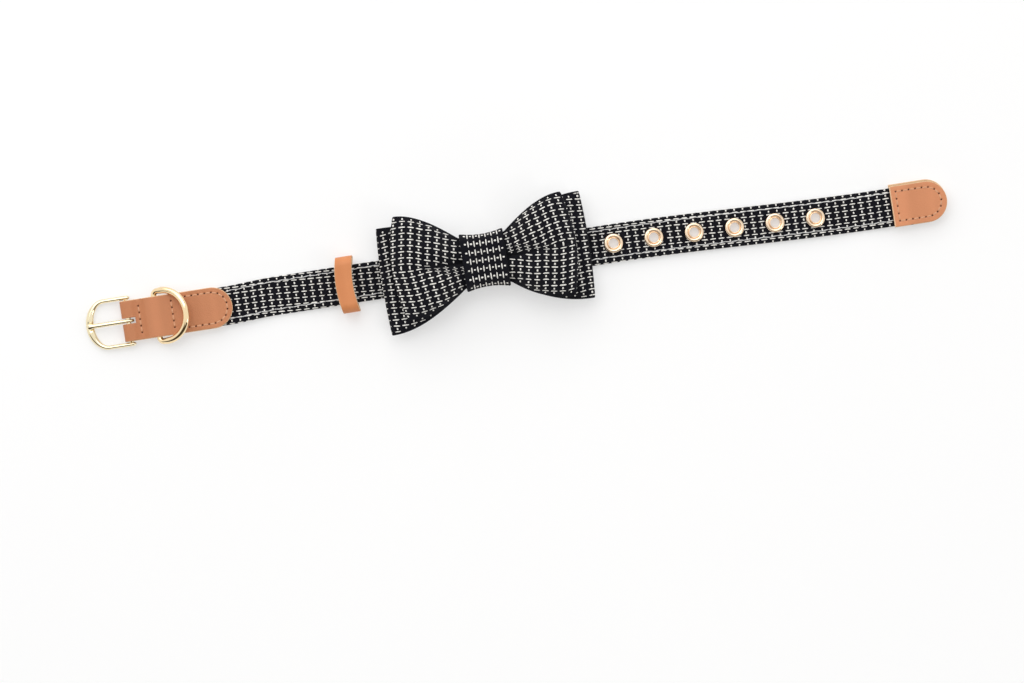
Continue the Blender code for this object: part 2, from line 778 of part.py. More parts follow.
def build_collar():
    clear_scene()
    root = empty_at("collar", (0, 0, 0))
    end_middle = strap_sideways(BAR_X)
    strap()
    eyelets()
    buckle_leather()
    tip_leather("tip_leather_back", LEATHER / 2, TIP_BACK_SHIFT)
    tip_leather("tip_leather_front", TOP_LEATHER_MIDDLE, 0.0)
    keeper_loop()
    bow_layer(LOWER, lower_heights)
    bow_layer(UPPER, upper_heights)
    bow_knot()
    frame_pivot = empty_at("frame_pivot", (BAR_X, end_middle, BAR_LEVEL), root)
    far_end = FRAME_REACH - FRAME_END_WIDTH / 2
    frame_pivot.rotation_euler.y = -math.asin((BAR_LEVEL - FRAME_THICKNESS / 2) / far_end)
    prong_pivot = empty_at("prong_pivot", (0, 0, 0), frame_pivot)
    ring_pivot = empty_at("ring_pivot", (RING_X, end_middle, BAR_LEVEL), root)
    buckle_frame(frame_pivot)
    prong(prong_pivot)
    d_ring(ring_pivot)
    for item in list(COLLAR.objects) + list(CUTTERS.objects):
        if item.parent is None and item is not root:
            item.parent = root
    stand_on_origin(root)


build_collar()
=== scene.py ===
"""Looks of the pet bow tie collar: woven cloth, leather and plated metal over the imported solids.

Metres, +Z up. Shapes are worked out in the collar's own coordinates, from the middle of the bow,
and moved by BOW_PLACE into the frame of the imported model.
"""

import math
from collections import namedtuple

import bmesh
import bpy
import numpy as np
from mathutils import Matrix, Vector


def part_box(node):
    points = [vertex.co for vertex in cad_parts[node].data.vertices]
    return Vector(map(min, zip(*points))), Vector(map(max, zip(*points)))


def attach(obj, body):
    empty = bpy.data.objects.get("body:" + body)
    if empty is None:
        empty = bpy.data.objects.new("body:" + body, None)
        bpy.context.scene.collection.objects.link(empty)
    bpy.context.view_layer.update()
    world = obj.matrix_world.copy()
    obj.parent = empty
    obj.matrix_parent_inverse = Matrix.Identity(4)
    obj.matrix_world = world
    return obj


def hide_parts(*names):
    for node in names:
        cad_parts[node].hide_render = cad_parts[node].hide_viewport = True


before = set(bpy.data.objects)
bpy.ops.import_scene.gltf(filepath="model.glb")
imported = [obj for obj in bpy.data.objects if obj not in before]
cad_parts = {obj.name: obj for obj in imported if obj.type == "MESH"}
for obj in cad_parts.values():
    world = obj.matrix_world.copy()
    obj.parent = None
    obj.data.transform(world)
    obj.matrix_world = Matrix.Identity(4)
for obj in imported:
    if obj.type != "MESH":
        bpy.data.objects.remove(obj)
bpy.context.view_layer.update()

# Clearances
GAP = 0.0003
FLOOR_GAP = 0.0002

# Degrees between faces over which an edge is shaded sharp
SHARP_EDGE = 50
SHARP_EYELET_EDGE = 55

# Strap
STRAP_WIDTH = 0.0156
STRAP_THICKNESS = 0.0020
STRAP_TUCK = 0.0060
STRAP_STEP = 0.00056
STRAP_FACE_STEPS = 30
STRAP_EDGE_STEPS = 5
HOLE_COUNT = 6
HOLE_PITCH = 0.01624
BUCKLE_DRIFT = 0.0009
BUCKLE_DRIFT_START = 0.085
BUCKLE_DRIFT_LENGTH = 0.020
TIP_DRIFT = 0.0029
TIP_DRIFT_START = 0.050
TIP_DRIFT_LENGTH = 0.112

# Leather
LEATHER = 0.0012
LEATHER_OVERHANG = 0.0004
BUCKLE_LEATHER_LENGTH = 0.0446
TIP_LEATHER_LENGTH = 0.0222
TIP_BACK_SHIFT = 0.0009
END_LAST_TURN = 0.012
EDGE_ROUNDING = 0.00022
LEATHER_STEP = 0.00024
LEATHER_COLUMNS = 70
END_STEPS = 44
FOLD_STEPS = 28
WORN_ROWS = 2
STITCH_DIP = 0.0011
STITCH_DIP_REACH = 0.0030
BAR_TO_STITCH_DIP = 0.0048
RING_TO_STRAP = 0.0034
SLOT_SIDE_ROOM = 0.00042
SLOT_REACH = 0.0030

# Places along the collar, from the middle of the bow
BAR_TO_BOW = 0.1444
KEEPER_TO_BOW = 0.0555
BOW_TO_FIRST_HOLE = 0.0518
BOW_TO_TIP = 0.1860

# Keeper
KEEPER_WIDTH = 0.0070
KEEPER_SIDE_ROOM = 0.0023
KEEPER_CORNER = 0.0030
KEEPER_BOWING = 0.0013
KEEPER_STEPS = 130
KEEPER_TURN_STEPS = 10
KEEPER_COLUMNS = 26

# Eyelets, by their radii
EYELET_BORE = 0.00185
EYELET_WALL = 0.00035
EYELET_FLANGE = 0.00385
EYELET_REAR_FLANGE = 0.0034
EYELET_ROLL = 0.0011
EYELET_REAR_THICKNESS = 0.0006
EYELET_SIDES = 64
HOLE_SIDES = 40
ROLL_SHOULDER = 0.42
LIP_RADIUS = 0.00028
LIP_RISE = 0.00034
REAR_CHAMFER = 0.0002

# Buckle, prong and leash ring
FRAME_REACH = 0.0173
FRAME_ARM_WIDTH = 0.0017
FRAME_END_WIDTH = 0.0032
FRAME_THICKNESS = 0.0023
FRAME_ROUND = 0.0068
FRAME_ARM_TAIL = 0.0018
FRAME_ARM_STEPS = 24
FRAME_TURN_STEPS = 145
SADDLE_HALF = 0.0017
SADDLE_DEPTH = 0.00020
SADDLE_SLOPE = 0.0020
PRONG_CURL_WIRE = 0.00055
PRONG_SHANK_WIRE = 0.00078
PRONG_SWELL = 1.18
PRONG_TIP_WIRE = 0.00055
PRONG_CURL_CLEARANCE = 0.00025
PRONG_END_INSET = 0.0006
PRONG_CURL_DEGREES = 205
PRONG_CURL_STEPS = 40
PRONG_SHANK_STEPS = 44
PRONG_SHANK_START = 0.03
PRONG_RISE_RATE = 1.3
PRONG_WIRE_SHARES = (0, 0.18, 0.85, 1.0)
PRONG_TIP_START = 0.82
PRONG_TIP_RUN = 0.14
PRONG_TIP_SPREAD = 0.9
RING_CHANNEL_CLEARANCE = 0.00015
RING_SIDE_ROOM = 0.0008
RING_REACH = 0.0136
RING_CORNER = 0.0018
RING_FLATTENING = 0.16
RING_STEPS = 180
RING_BOW_STEPS = 80
RING_CORNER_STEPS = 12
BAR_STEPS = 12
BAR_TO_RING = 0.0114
WIRE_SIDES = 20

# Bow
BOW_WALL = 0.0013
PINCH_GAP = 0.0004
PINCH_RIDGE = 0.0024
KNOT_WALL = 0.0012
KNOT_WIDTH = 0.0176
KNOT_SIDE_ROOM = 0.0016
KNOT_FLARE = 0.0022
KNOT_SIDEWAYS = 0.0012
KNOT_BOTTOM_CORNER = 0.0012
KNOT_TOP_CORNER = 0.0040
WAIST_CLEARANCE = 0.0007
WING_EDGE_POWER = 2.1
WING_FOLD_POWER = 6
WING_RISE_SHARE = 0.45
RIDGE_FADE_POWER = 1.2
WING_STEP_POWER = 1.8
UPPER_CROWN = 0.0009
CLOTH_WALL = 0.0009
CLOTH_STEP = 0.00056
CURL_START = 0.80
CURL_SHARE = 0.80
CURL_POWER = 1.5
RIDGE_PLACE = 0.42
VALLEY_BAND = 0.0045
VALLEY_SHARE = 0.8
PLAIN_SHARE = 0.9
BOW_STRETCH = 1.02
# Band along the bow's valley near the knot without pale floats: partly hidden by the fold, partly painted
# shade
CREASE_SHADE = 0.0011
CREASE_SHADE_SHARE = 0.5
UPPER_FAN = math.tan(math.radians(9.5))
LOOP_STATIONS = 600
KNOT_STRIP_LENGTH = 0.072
KNOT_STEPS = 130
KNOT_TURN_STEPS = 8
KNOT_COLUMNS = 35

Layer = namedtuple(
    "Layer", "name half_length half_height left_offset right_offset bulge puff fan column_shift")
LOWER = Layer("bow_lower", 0.0423, 0.0211, -0.0014, 0.0012, 0.0009, 0.0022, 0.0, 0.0010)
UPPER = Layer("bow_upper", 0.0372, 0.0204, 0.0028, 0.0026, 0.0032, 0.0024, UPPER_FAN, -0.00098)

# Weave: off-white floats along the cloth, with a shorter one across between each two rows
COLUMN_PITCH = 0.00336
ROW_PITCH = 0.00241
ROW_SHIFT = 0.0010
KNOT_ROW_SHIFT = 0.00084
STRAP_ROW_SHIFT = 0.0013
STRAP_ROW_SLOPE = 0.0395
STRAP_ROW_BEND = 0.16
STRAP_COLUMN_SHIFT = 0.00065
PILLOW = 0.00020
PILLOW_ALONG = 0.55
PILLOW_ACROSS = 0.45
YARN_COUNT_ALONG = 8
YARN_COUNT_ACROSS = 6
MOST_CROWDING = 2.1
FLOAT_ROOM = 0.0014
FLOAT_REACH = 0.62
FLOAT_TURN = 0.05
FLOAT_SWELL = 0.08
PILL_ALONG = 6
PILL_ACROSS = 5
Float = namedtuple("Float", "name length width height row_shift seed")
DASH = Float("dash", 0.00250, 0.00048, 0.00017, 0.0, 3)
DOT = Float("dot", 0.00062, 0.00086, 0.00017, 0.5, 7)

# Levels, from the floor up
STRAP_SEAT = LEATHER + GAP
EYELET_SEAT = EYELET_REAR_THICKNESS + GAP
UNDER_TOP_LEATHER = STRAP_SEAT + STRAP_THICKNESS + GAP
TOP_LEATHER_MIDDLE = UNDER_TOP_LEATHER + LEATHER / 2
STACK = UNDER_TOP_LEATHER + LEATHER
BAR_LEVEL = STACK / 2
BOW_SEAT = UNDER_TOP_LEATHER + BOW_WALL / 2
KEEPER_HEIGHT = STRAP_SEAT + STRAP_THICKNESS + STACK + GAP + LEATHER

# Widths and radii that follow from the sizes above
LEATHER_WIDTH = STRAP_WIDTH + 2 * LEATHER_OVERHANG
LEATHER_ROUND = LEATHER_WIDTH / 2
KEEPER_SPAN = STRAP_WIDTH + 2 * (KEEPER_SIDE_ROOM + LEATHER)
KNOT_SPAN_MIDDLE = STRAP_WIDTH + 2 * (KNOT_SIDE_ROOM + KNOT_WALL)
FOLD_RADIUS = BAR_LEVEL - LEATHER / 2
BAR_RADIUS = FOLD_RADIUS - LEATHER / 2 - GAP
RING_WIRE = (UNDER_TOP_LEATHER - LEATHER) / 2 - RING_CHANNEL_CLEARANCE
RING_HALF = LEATHER_WIDTH / 2 + RING_SIDE_ROOM + RING_WIRE
SLOT_WIDTH = 2 * (PRONG_SHANK_WIRE + SLOT_SIDE_ROOM)
EYELET_BARREL = EYELET_BORE + EYELET_WALL
FRAME_ARM_Y = LEATHER_WIDTH / 2 + GAP + FRAME_ARM_WIDTH / 2

# Places that follow from the sizes above
BAR_X = -BAR_TO_BOW
RING_X = BAR_X + BAR_TO_RING
BUCKLE_LEATHER_END = BAR_X - BAR_LEVEL + BUCKLE_LEATHER_LENGTH
STRAP_START = RING_X + RING_TO_STRAP
TIP_LEATHER_START = BOW_TO_TIP - TIP_LEATHER_LENGTH
STRAP_END = BOW_TO_TIP - STRAP_TUCK
LAST_HOLE = BOW_TO_FIRST_HOLE + (HOLE_COUNT - 1) * HOLE_PITCH
KNOT_HALF = KNOT_WIDTH / 2
WAIST_HALF = KNOT_HALF + WAIST_CLEARANCE
HOLE_PLACES = [BOW_TO_FIRST_HOLE + HOLE_PITCH * index for index in range(HOLE_COUNT)]

strap_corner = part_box("strap")[1]
BOW_PLACE = Vector((strap_corner.x - STRAP_END, strap_corner.y - STRAP_WIDTH / 2, 0.0))


# Shapes worked out on arrays

def smooth_step(share):
    share = np.clip(share, 0.0, 1.0)
    return share * share * (3.0 - 2.0 * share)


Rest = namedtuple("Rest", "station height")


def rests():
    """Height of the strap's underside where something carries it, and between."""
    keeper_start = -KEEPER_TO_BOW - KEEPER_WIDTH / 2 - KEEPER_BOWING
    keeper_end = -KEEPER_TO_BOW + KEEPER_WIDTH / 2
    holes_start = BOW_TO_FIRST_HOLE - EYELET_FLANGE
    holes_end = LAST_HOLE + EYELET_FLANGE
    return (
        Rest(STRAP_START, STRAP_SEAT),
        Rest(BUCKLE_LEATHER_END, STRAP_SEAT),
        Rest((BUCKLE_LEATHER_END + keeper_start) / 2, FLOOR_GAP),
        Rest(keeper_start, STRAP_SEAT),
        Rest(keeper_end, STRAP_SEAT),
        Rest((keeper_end - KNOT_HALF) / 2, FLOOR_GAP),
        Rest(-KNOT_HALF, STRAP_SEAT),
        Rest(KNOT_HALF, STRAP_SEAT),
        Rest((KNOT_HALF + holes_start) / 2, FLOOR_GAP),
        Rest(holes_start, EYELET_SEAT),
        Rest(holes_end, EYELET_SEAT),
        Rest((holes_end + TIP_LEATHER_START) / 2, FLOOR_GAP),
        Rest(TIP_LEATHER_START, STRAP_SEAT),
        Rest(STRAP_END, STRAP_SEAT),
    )


def strap_height(x):
    """Height of the strap's underside at places along it."""
    x = np.asarray(x, float)
    rows = rests()
    height = np.full(x.shape, rows[0].height)
    for before, after in zip(rows, rows[1:]):
        share = (x - before.station) / (after.station - before.station)
        here = before.height + (after.height - before.height) * smooth_step(share)
        height = np.where(x >= before.station, here, height)
    return height


def strap_sideways(x):
    to_tip = TIP_DRIFT * smooth_step((x - TIP_DRIFT_START) / TIP_DRIFT_LENGTH)
    to_buckle = BUCKLE_DRIFT * smooth_step((-BUCKLE_DRIFT_START - x) / BUCKLE_DRIFT_LENGTH)
    return -to_tip - to_buckle


END_MIDDLE = float(strap_sideways(BAR_X))


def differences(points, axis, wrap):
    """Central differences of a grid of points along one axis."""
    if wrap:
        return np.roll(points, -1, axis) - np.roll(points, 1, axis)
    return np.gradient(points, axis=axis)


def unit(vectors):
    return vectors / np.maximum(np.linalg.norm(vectors, axis=-1, keepdims=True), 1e-12)


def grid_normals(points, wrap_rows=False, wrap_columns=False):
    """Unit normals of a grid, on the side where rows, columns and normal are right-handed."""
    along = differences(points, 0, wrap_rows)
    across = differences(points, 1, wrap_columns)
    return unit(np.cross(along, across))


def lengths_along(points):
    """Running length along a row of points."""
    steps = np.linalg.norm(np.diff(points, axis=0), axis=-1)
    return np.concatenate([[0.0], np.cumsum(steps)])


def pillow(u, v):
    """Height of the black yarns, which swell between the off-white ones."""
    along = np.sin(math.pi * u / COLUMN_PITCH) ** 2
    across = np.sin(math.pi * v / ROW_PITCH) ** 2
    return PILLOW * (PILLOW_ALONG * along + PILLOW_ACROSS * across)


# Meshes

def new_object(name, data):
    item = bpy.data.objects.new(name, data)
    bpy.context.scene.collection.objects.link(item)
    return item


def evaluated_mesh(item):
    """The plain mesh that an object's modifiers make."""
    graph = bpy.context.evaluated_depsgraph_get()
    return bpy.data.meshes.new_from_object(item.evaluated_get(graph))


def set_points(mesh, key, values):
    attribute = mesh.attributes.new(key, "FLOAT", "POINT")
    attribute.data.foreach_set("value", np.asarray(values, np.float32).ravel())


def grid_mesh(name, points, materials, uv=None, wrap_rows=False, wrap_columns=False, caps=False,
              column_slots=None, point_values=None):
    """A mesh through a grid of points. uv holds one more row or column where the grid wraps."""
    rows, columns = points.shape[:2]
    row = np.arange(rows if wrap_rows else rows - 1)
    column = np.arange(columns if wrap_columns else columns - 1)
    a, b = [grid.ravel() for grid in np.meshgrid(row, column, indexing="ij")]
    corners = ((a, b), (a + 1, b), (a + 1, b + 1), (a, b + 1))
    quads = np.stack([(i % rows) * columns + j % columns for i, j in corners], axis=-1)
    faces = quads.tolist()
    if caps:
        closing = [list(range(columns))] if caps is True else caps
        faces += closing
        faces += [[(rows - 1) * columns + index for index in reversed(face)] for face in closing]
    mesh = bpy.data.meshes.new(name)
    mesh.from_pydata((points.reshape(-1, 3) + np.array(BOW_PLACE)).tolist(), [], faces)
    for material in materials:
        mesh.materials.append(material)
    if uv is not None:
        layer = mesh.uv_layers.new(name="weave")
        corner_uv = np.zeros((len(mesh.loops), 2), np.float32)
        wide = np.stack([uv[i, j] for i, j in corners], axis=1)
        corner_uv[:quads.size] = wide.reshape(-1, 2)
        layer.data.foreach_set("uv", corner_uv.ravel())
    if column_slots is not None:
        slots = np.zeros(len(faces), np.int32)
        slots[:len(quads)] = np.asarray(column_slots)[b]
        mesh.polygons.foreach_set("material_index", slots)
    for key, values in (point_values or {}).items():
        set_points(mesh, key, values)
    mesh.validate()
    mesh.shade_smooth()
    return new_object(name, mesh)


def face_outwards(item):
    """Merges doubles and turns every face of a closed mesh outwards."""
    builder = bmesh.new()
    builder.from_mesh(item.data)
    bmesh.ops.remove_doubles(builder, verts=builder.verts, dist=1e-7)
    if builder.calc_volume(signed=True) < 0:
        bmesh.ops.reverse_faces(builder, faces=builder.faces)
    builder.to_mesh(item.data)
    builder.free()
    return item


def sharp_over(item, degrees):
    item.data.set_sharp_from_angle(angle=math.radians(degrees))
    return item


def cut_away(body, name, builder, place, lining=None):
    """Cuts a plain solid out of a closed piece, and gives the cut its lining's finish."""
    mesh = bpy.data.meshes.new(name)
    builder.to_mesh(mesh)
    builder.free()
    if lining:
        mesh.materials.append(lining)
    cutter = new_object(name, mesh)
    cutter.location = BOW_PLACE + Vector(place)
    bpy.context.view_layer.update()
    boolean = body.modifiers.new(name, "BOOLEAN")
    boolean.operation = "DIFFERENCE"
    boolean.solver = "EXACT"
    boolean.material_mode = "TRANSFER" if lining else "INDEX"
    boolean.object = cutter
    mesh = evaluated_mesh(body)
    body.modifiers.clear()
    body.data = mesh
    bpy.data.objects.remove(cutter)


EDGE_TURNS = (45, 0, -45)


def walled(middle, normals, wall, relief, edge, wrap_rows=False):
    """Closed sections round a sheet: outer face, rounded edge, inner face and the other edge."""
    outer = middle + normals * (wall / 2 + relief)[..., None]
    inner = middle - normals * wall / 2
    bends = []
    for column, sign in ((-1, 1), (0, -1)):
        run = differences(middle[:, [column]], 0, wrap_rows)[:, 0]
        out = sign * unit(np.cross(normals[:, column], run))
        bend = []
        for degrees in EDGE_TURNS:
            angle = math.radians(sign * degrees)
            bend.append(middle[:, column] + out * edge * math.cos(angle)
                        + normals[:, column] * wall / 2 * math.sin(angle))
        bends.append(np.stack(bend, axis=1))
    return np.concatenate([outer, bends[0], inner[:, ::-1], bends[1]], axis=1)


def section_slots(columns, outer, inner):
    """Material of each strip of a walled section of leather: its two faces, and 1 on its edges."""
    edge = [1] * (len(EDGE_TURNS) + 1)
    return [outer] * (columns - 1) + edge + [inner] * (columns - 1) + edge


def section_caps(count, columns):
    """Faces that close a walled section: rungs from one rounded edge to the other."""
    turns = len(EDGE_TURNS)
    faces = [list(range(columns + 1)) + [count - 1]]
    for step in range(turns - 1):
        faces.append([columns + step, columns + step + 1, count - 2 - step, count - 1 - step])
    faces.append(list(range(columns + turns - 1, 2 * columns + turns + 1)))
    return faces


def section_weave(u, v, edge, u_loop):
    """Weave coordinates round a walled section of a loop, running on over its edges.

    u_loop is the length of the loop, which the last row repeats the first one at.
    """
    u = np.concatenate([u, u[:1] + u_loop])
    v = np.concatenate([v, v[:1]])
    steps = np.arange(1, len(EDGE_TURNS) + 1) * edge
    around_v = np.concatenate([v, v[:, -1:] + steps, v[:, ::-1], v[:, :1] - steps[::-1], v[:, :1]], axis=1)
    last = np.repeat(u[:, -1:], len(steps), axis=1)
    first = np.repeat(u[:, :1], len(steps), axis=1)
    around_u = np.concatenate([u, last, u[:, ::-1], first, u[:, :1]], axis=1)
    return np.stack([around_u, around_v], axis=-1)


# Node trees

class Value:
    """A socket that Python expressions turn into Math nodes."""

    def __init__(self, nodes, socket):
        self.nodes = nodes
        self.socket = socket

    def math(self, operation, *values):
        made = self.nodes.add("ShaderNodeMath", {"operation": operation}, dict(enumerate(values)))
        return Value(self.nodes, made.outputs[0])

    def __add__(self, other):
        return self.math("ADD", self, other)

    def __radd__(self, other):
        return self.math("ADD", other, self)

    def __sub__(self, other):
        return self.math("SUBTRACT", self, other)

    def __rsub__(self, other):
        return self.math("SUBTRACT", other, self)

    def __mul__(self, other):
        return self.math("MULTIPLY", self, other)

    def __rmul__(self, other):
        return self.math("MULTIPLY", other, self)

    def __truediv__(self, other):
        return self.math("DIVIDE", self, other)

    def __rtruediv__(self, other):
        return self.math("DIVIDE", other, self)

    def __pow__(self, power):
        return self.math("POWER", self, power)

    def __rpow__(self, base):
        return self.math("POWER", base, self)

    def __gt__(self, other):
        return self.math("GREATER_THAN", self, other)

    def sine(self):
        return self.math("SINE", self)

    def cosine(self):
        return self.math("COSINE", self)

    def size(self):
        return self.math("ABSOLUTE", self)

    def root(self):
        return self.math("SQRT", self)

    def largest(self, other):
        return self.math("MAXIMUM", self, other)

    def ramp(self, low, high, to_low=0.0, to_high=1.0):
        """A smooth change from to_low to to_high while the value goes from low to high."""
        made = self.nodes.add("ShaderNodeMapRange", {"interpolation_type": "SMOOTHSTEP"}, {
            "Value": self, "From Min": low, "From Max": high, "To Min": to_low, "To Max": to_high})
        return Value(self.nodes, made.outputs[0])


class Nodes:
    """A node tree, built node by node."""

    def __init__(self, tree):
        self.tree = tree
        tree.nodes.clear()

    def add(self, kind, settings=None, sockets=None):
        """One node: its settings first, then the values or links of its sockets."""
        made = self.tree.nodes.new(kind)
        for key, value in (settings or {}).items():
            setattr(made, key, value)
        for key, value in (sockets or {}).items():
            socket = self.socket(made.inputs, key)
            given = value.socket if isinstance(value, Value) else value
            if isinstance(given, bpy.types.NodeSocket):
                self.tree.links.new(given, socket)
            else:
                socket.default_value = given
        return made

    @staticmethod
    def socket(sockets, key):
        if isinstance(key, int):
            return sockets[key]
        for socket in sockets:
            if socket.name == key and socket.enabled:
                return socket
        raise KeyError(key)

    def value(self, made, key=0):
        return Value(self, self.socket(made.outputs, key))

    def on_points(self, name, kind="FLOAT"):
        """A named value that the points of the geometry carry."""
        made = self.add("GeometryNodeInputNamedAttribute", {"data_type": kind}, {"Name": name})
        return self.value(made, "Attribute")

    def on_surface(self, name):
        """A named value of the surface that a material is on."""
        return self.value(self.add("ShaderNodeAttribute", {"attribute_name": name}), "Fac")

    def own_place(self):
        """Object coordinates of the surface that a material is on."""
        return self.add("ShaderNodeTexCoord").outputs["Object"]

    def split(self, vector):
        made = self.add("ShaderNodeSeparateXYZ", {}, {0: vector})
        return [Value(self, made.outputs[axis]) for axis in range(3)]

    def join(self, x, y, z):
        return self.add("ShaderNodeCombineXYZ", {}, {0: x, 1: y, 2: z}).outputs[0]


# Finishes

def noise(nodes, place, scale, detail=2.0, roughness=0.5):
    made = nodes.add("ShaderNodeTexNoise", {}, {
        "Vector": place, "Scale": scale, "Detail": detail, "Roughness": roughness})
    return nodes.value(made, "Fac")


def mixed(nodes, share, first, second):
    made = nodes.add("ShaderNodeMix", {"data_type": "RGBA"}, {
        "Factor": share, "A": (*first, 1.0) if isinstance(first, tuple) else first,
        "B": (*second, 1.0) if isinstance(second, tuple) else second})
    return Nodes.socket(made.outputs, "Result")


def finished(name, build, constants):
    """A material whose shader takes the sockets that build returns, and constants as they are."""
    material = bpy.data.materials.new(name)
    material.use_nodes = True
    nodes = Nodes(material.node_tree)
    sockets = dict(constants)
    sockets.update(build(nodes))
    shader = nodes.add("ShaderNodeBsdfPrincipled", {}, sockets)
    nodes.add("ShaderNodeOutputMaterial", {}, {"Surface": shader.outputs[0]})
    return material


def bumped(nodes, height, distance):
    made = nodes.add("ShaderNodeBump", {}, {"Height": height, "Distance": distance, "Strength": 1.0})
    return made.outputs[0]


def black_cloth(nodes):
    """Plain weave of black yarns, a little blue, with hairs and uneven yarns."""
    place = nodes.add("ShaderNodeUVMap", {"uv_map": "weave"}).outputs[0]
    u, v, _ = nodes.split(place)
    ends = math.pi * YARN_COUNT_ALONG / COLUMN_PITCH
    picks = math.pi * YARN_COUNT_ACROSS / ROW_PITCH
    wander = noise(nodes, place, 900.0) * 0.9
    ridge_u = (u * ends + wander).sine()
    ridge_v = (v * picks + wander).sine()
    over = (ridge_u * ridge_v).ramp(-0.35, 0.35)
    height = ridge_u.size() * over + ridge_v.size() * (1.0 - over)
    hairs = noise(nodes, place, 5200.0, 4.0, 0.7)
    shade = (height * 0.55 + hairs * 0.45).ramp(0.25, 0.85)
    return {"Base Color": mixed(nodes, shade, (0.0016, 0.0016, 0.0030), (0.0105, 0.0105, 0.0160)),
            "Normal": bumped(nodes, height + hairs * 0.5, 0.00012)}


def pale_thread(nodes):
    """Off-white yarn: twisted, soft, a little uneven."""
    place = nodes.own_place()
    fibres = noise(nodes, place, 3800.0, 3.0, 0.6)
    patches = noise(nodes, place, 260.0)
    shade = (fibres * 0.6 + patches * 0.4).ramp(0.3, 0.7)
    return {"Base Color": mixed(nodes, shade, (0.72, 0.70, 0.65), (0.92, 0.90, 0.86)),
            "Normal": bumped(nodes, fibres, 0.00008)}


def sewing_thread(scale, roughness, deep, pale):
    """Spun thread whose fibres lie between two tones."""
    def build(nodes):
        fibres = noise(nodes, nodes.own_place(), scale, 3.0, roughness)
        return {"Base Color": mixed(nodes, fibres, deep, pale),
                "Normal": bumped(nodes, fibres, 0.00006)}
    return build


def leather_face(deep, pale):
    """Smooth leather between two tones, with a fine grain: soft bands of painted shade run across it, and it
    is painted lighter towards the tip.
    """
    def build(nodes):
        place = nodes.own_place()
        x, _, _ = nodes.split(place)
        # Painted shade: soft bands across the leather, darker and lighter along it.
        painted_shade_bands = noise(nodes, nodes.join(x, 0.0, 0.0), 120.0, 1.0)
        clouds = noise(nodes, place, 90.0)
        grain = nodes.value(nodes.add("ShaderNodeTexVoronoi", {"feature": "SMOOTH_F1"}, {
            "Vector": place, "Scale": 2300.0, "Smoothness": 0.6}), "Distance")
        pores = noise(nodes, place, 2600.0)
        # Painted light: the leather is painted lighter from the buckle end towards the tip.
        painted_light_to_tip = x.ramp(-0.12, 0.16)
        shade = painted_shade_bands.ramp(0.25, 0.75) * 0.40 + clouds * 0.16 + pores * 0.14 + painted_light_to_tip * 0.40
        smooth = mixed(nodes, shade, deep, pale)
        plain = mixed(nodes, nodes.on_surface("worn") * 0.8, smooth, (0.82, 0.58, 0.36))
        # Painted shade: the stitch holes are painted near black, over the shallow dents the mesh has there.
        painted_hole_shade = nodes.on_surface("prick_shade").ramp(0.15, 0.75)
        return {"Base Color": mixed(nodes, painted_hole_shade, plain, (0.050, 0.014, 0.007)),
                "Roughness": 0.46 + pores * 0.14,
                "Normal": bumped(nodes, grain + pores * 0.6, 0.00006)}
    return build


def leather_edge(nodes):
    """The cut edge: paler, fibrous, with dark spots between the layers."""
    place = nodes.own_place()
    fibres = noise(nodes, place, 1500.0, 4.0, 0.65)
    spots = noise(nodes, place, 420.0).ramp(0.60, 0.72)
    plain = mixed(nodes, fibres, (0.58, 0.34, 0.17), (0.86, 0.60, 0.38))
    return {"Base Color": mixed(nodes, spots * 0.75, plain, (0.10, 0.045, 0.025)),
            "Normal": bumped(nodes, fibres, 0.00012)}


def plating(first, second):
    """Polished plating whose colour and polish change a little over the surface."""
    def build(nodes):
        place = nodes.own_place()
        clouds = noise(nodes, place, 90.0)
        scuffs = noise(nodes, place, 1400.0, 4.0, 0.7)
        return {"Base Color": mixed(nodes, clouds, first, second),
                "Roughness": 0.06 + scuffs.ramp(0.45, 0.8) * 0.08,
                "Normal": bumped(nodes, scuffs, 0.000006)}
    return build


def smooth_leather(name, deep, pale):
    return finished(name, leather_face(deep, pale), {"Specular IOR Level": 0.42})


def plated(name, first, second):
    return finished(name, plating(first, second), {"Metallic": 1.0})


GREY_SPUN = sewing_thread(3200.0, 0.6, (0.50, 0.50, 0.51), (0.82, 0.81, 0.80))
TAN_SPUN = sewing_thread(3000.0, 0.5, (0.50, 0.22, 0.105), (0.76, 0.42, 0.25))
BLACK = finished("black_cloth", black_cloth, {
    "Roughness": 0.92, "Sheen Weight": 0.04, "Sheen Roughness": 0.5, "Specular IOR Level": 0.10})
PALE = finished("pale_thread", pale_thread, {"Roughness": 0.82, "Specular IOR Level": 0.3})
GREY = finished("top_stitch_thread", GREY_SPUN, {"Roughness": 0.7, "Specular IOR Level": 0.35})
TAN = smooth_leather("tan_leather", (0.44, 0.165, 0.066), (0.69, 0.275, 0.128))
KEEPER_TAN = smooth_leather("keeper_leather", (0.56, 0.190, 0.060), (0.80, 0.320, 0.130))
CUT_EDGE = finished("leather_cut_edge", leather_edge, {"Roughness": 0.85, "Specular IOR Level": 0.25})
STITCH = finished("stitch_thread", TAN_SPUN, {"Roughness": 0.7})
PALE_GOLD = plated("buckle_plating", (0.88, 0.76, 0.50), (0.93, 0.83, 0.60))
GOLD = plated("ring_plating", (0.92, 0.70, 0.40), (0.97, 0.78, 0.50))
ROSE_GOLD = plated("eyelet_plating", (0.93, 0.70, 0.49), (0.97, 0.78, 0.58))


# Threads laid on cloth by Geometry Nodes

def new_tree(name, rows):
    """A Geometry Nodes tree, its geometry input and its other inputs by their names."""
    tree = bpy.data.node_groups.new(name, "GeometryNodeTree")
    nodes = Nodes(tree)
    tree.interface.new_socket("Geometry", in_out="INPUT", socket_type="NodeSocketGeometry")
    for label, kind in rows:
        tree.interface.new_socket(label, in_out="INPUT", socket_type="NodeSocket" + kind)
    tree.interface.new_socket("Geometry", in_out="OUTPUT", socket_type="NodeSocketGeometry")
    given = nodes.add("NodeGroupInput")
    return nodes, given.outputs["Geometry"], {label: nodes.value(given, label) for label, _ in rows}


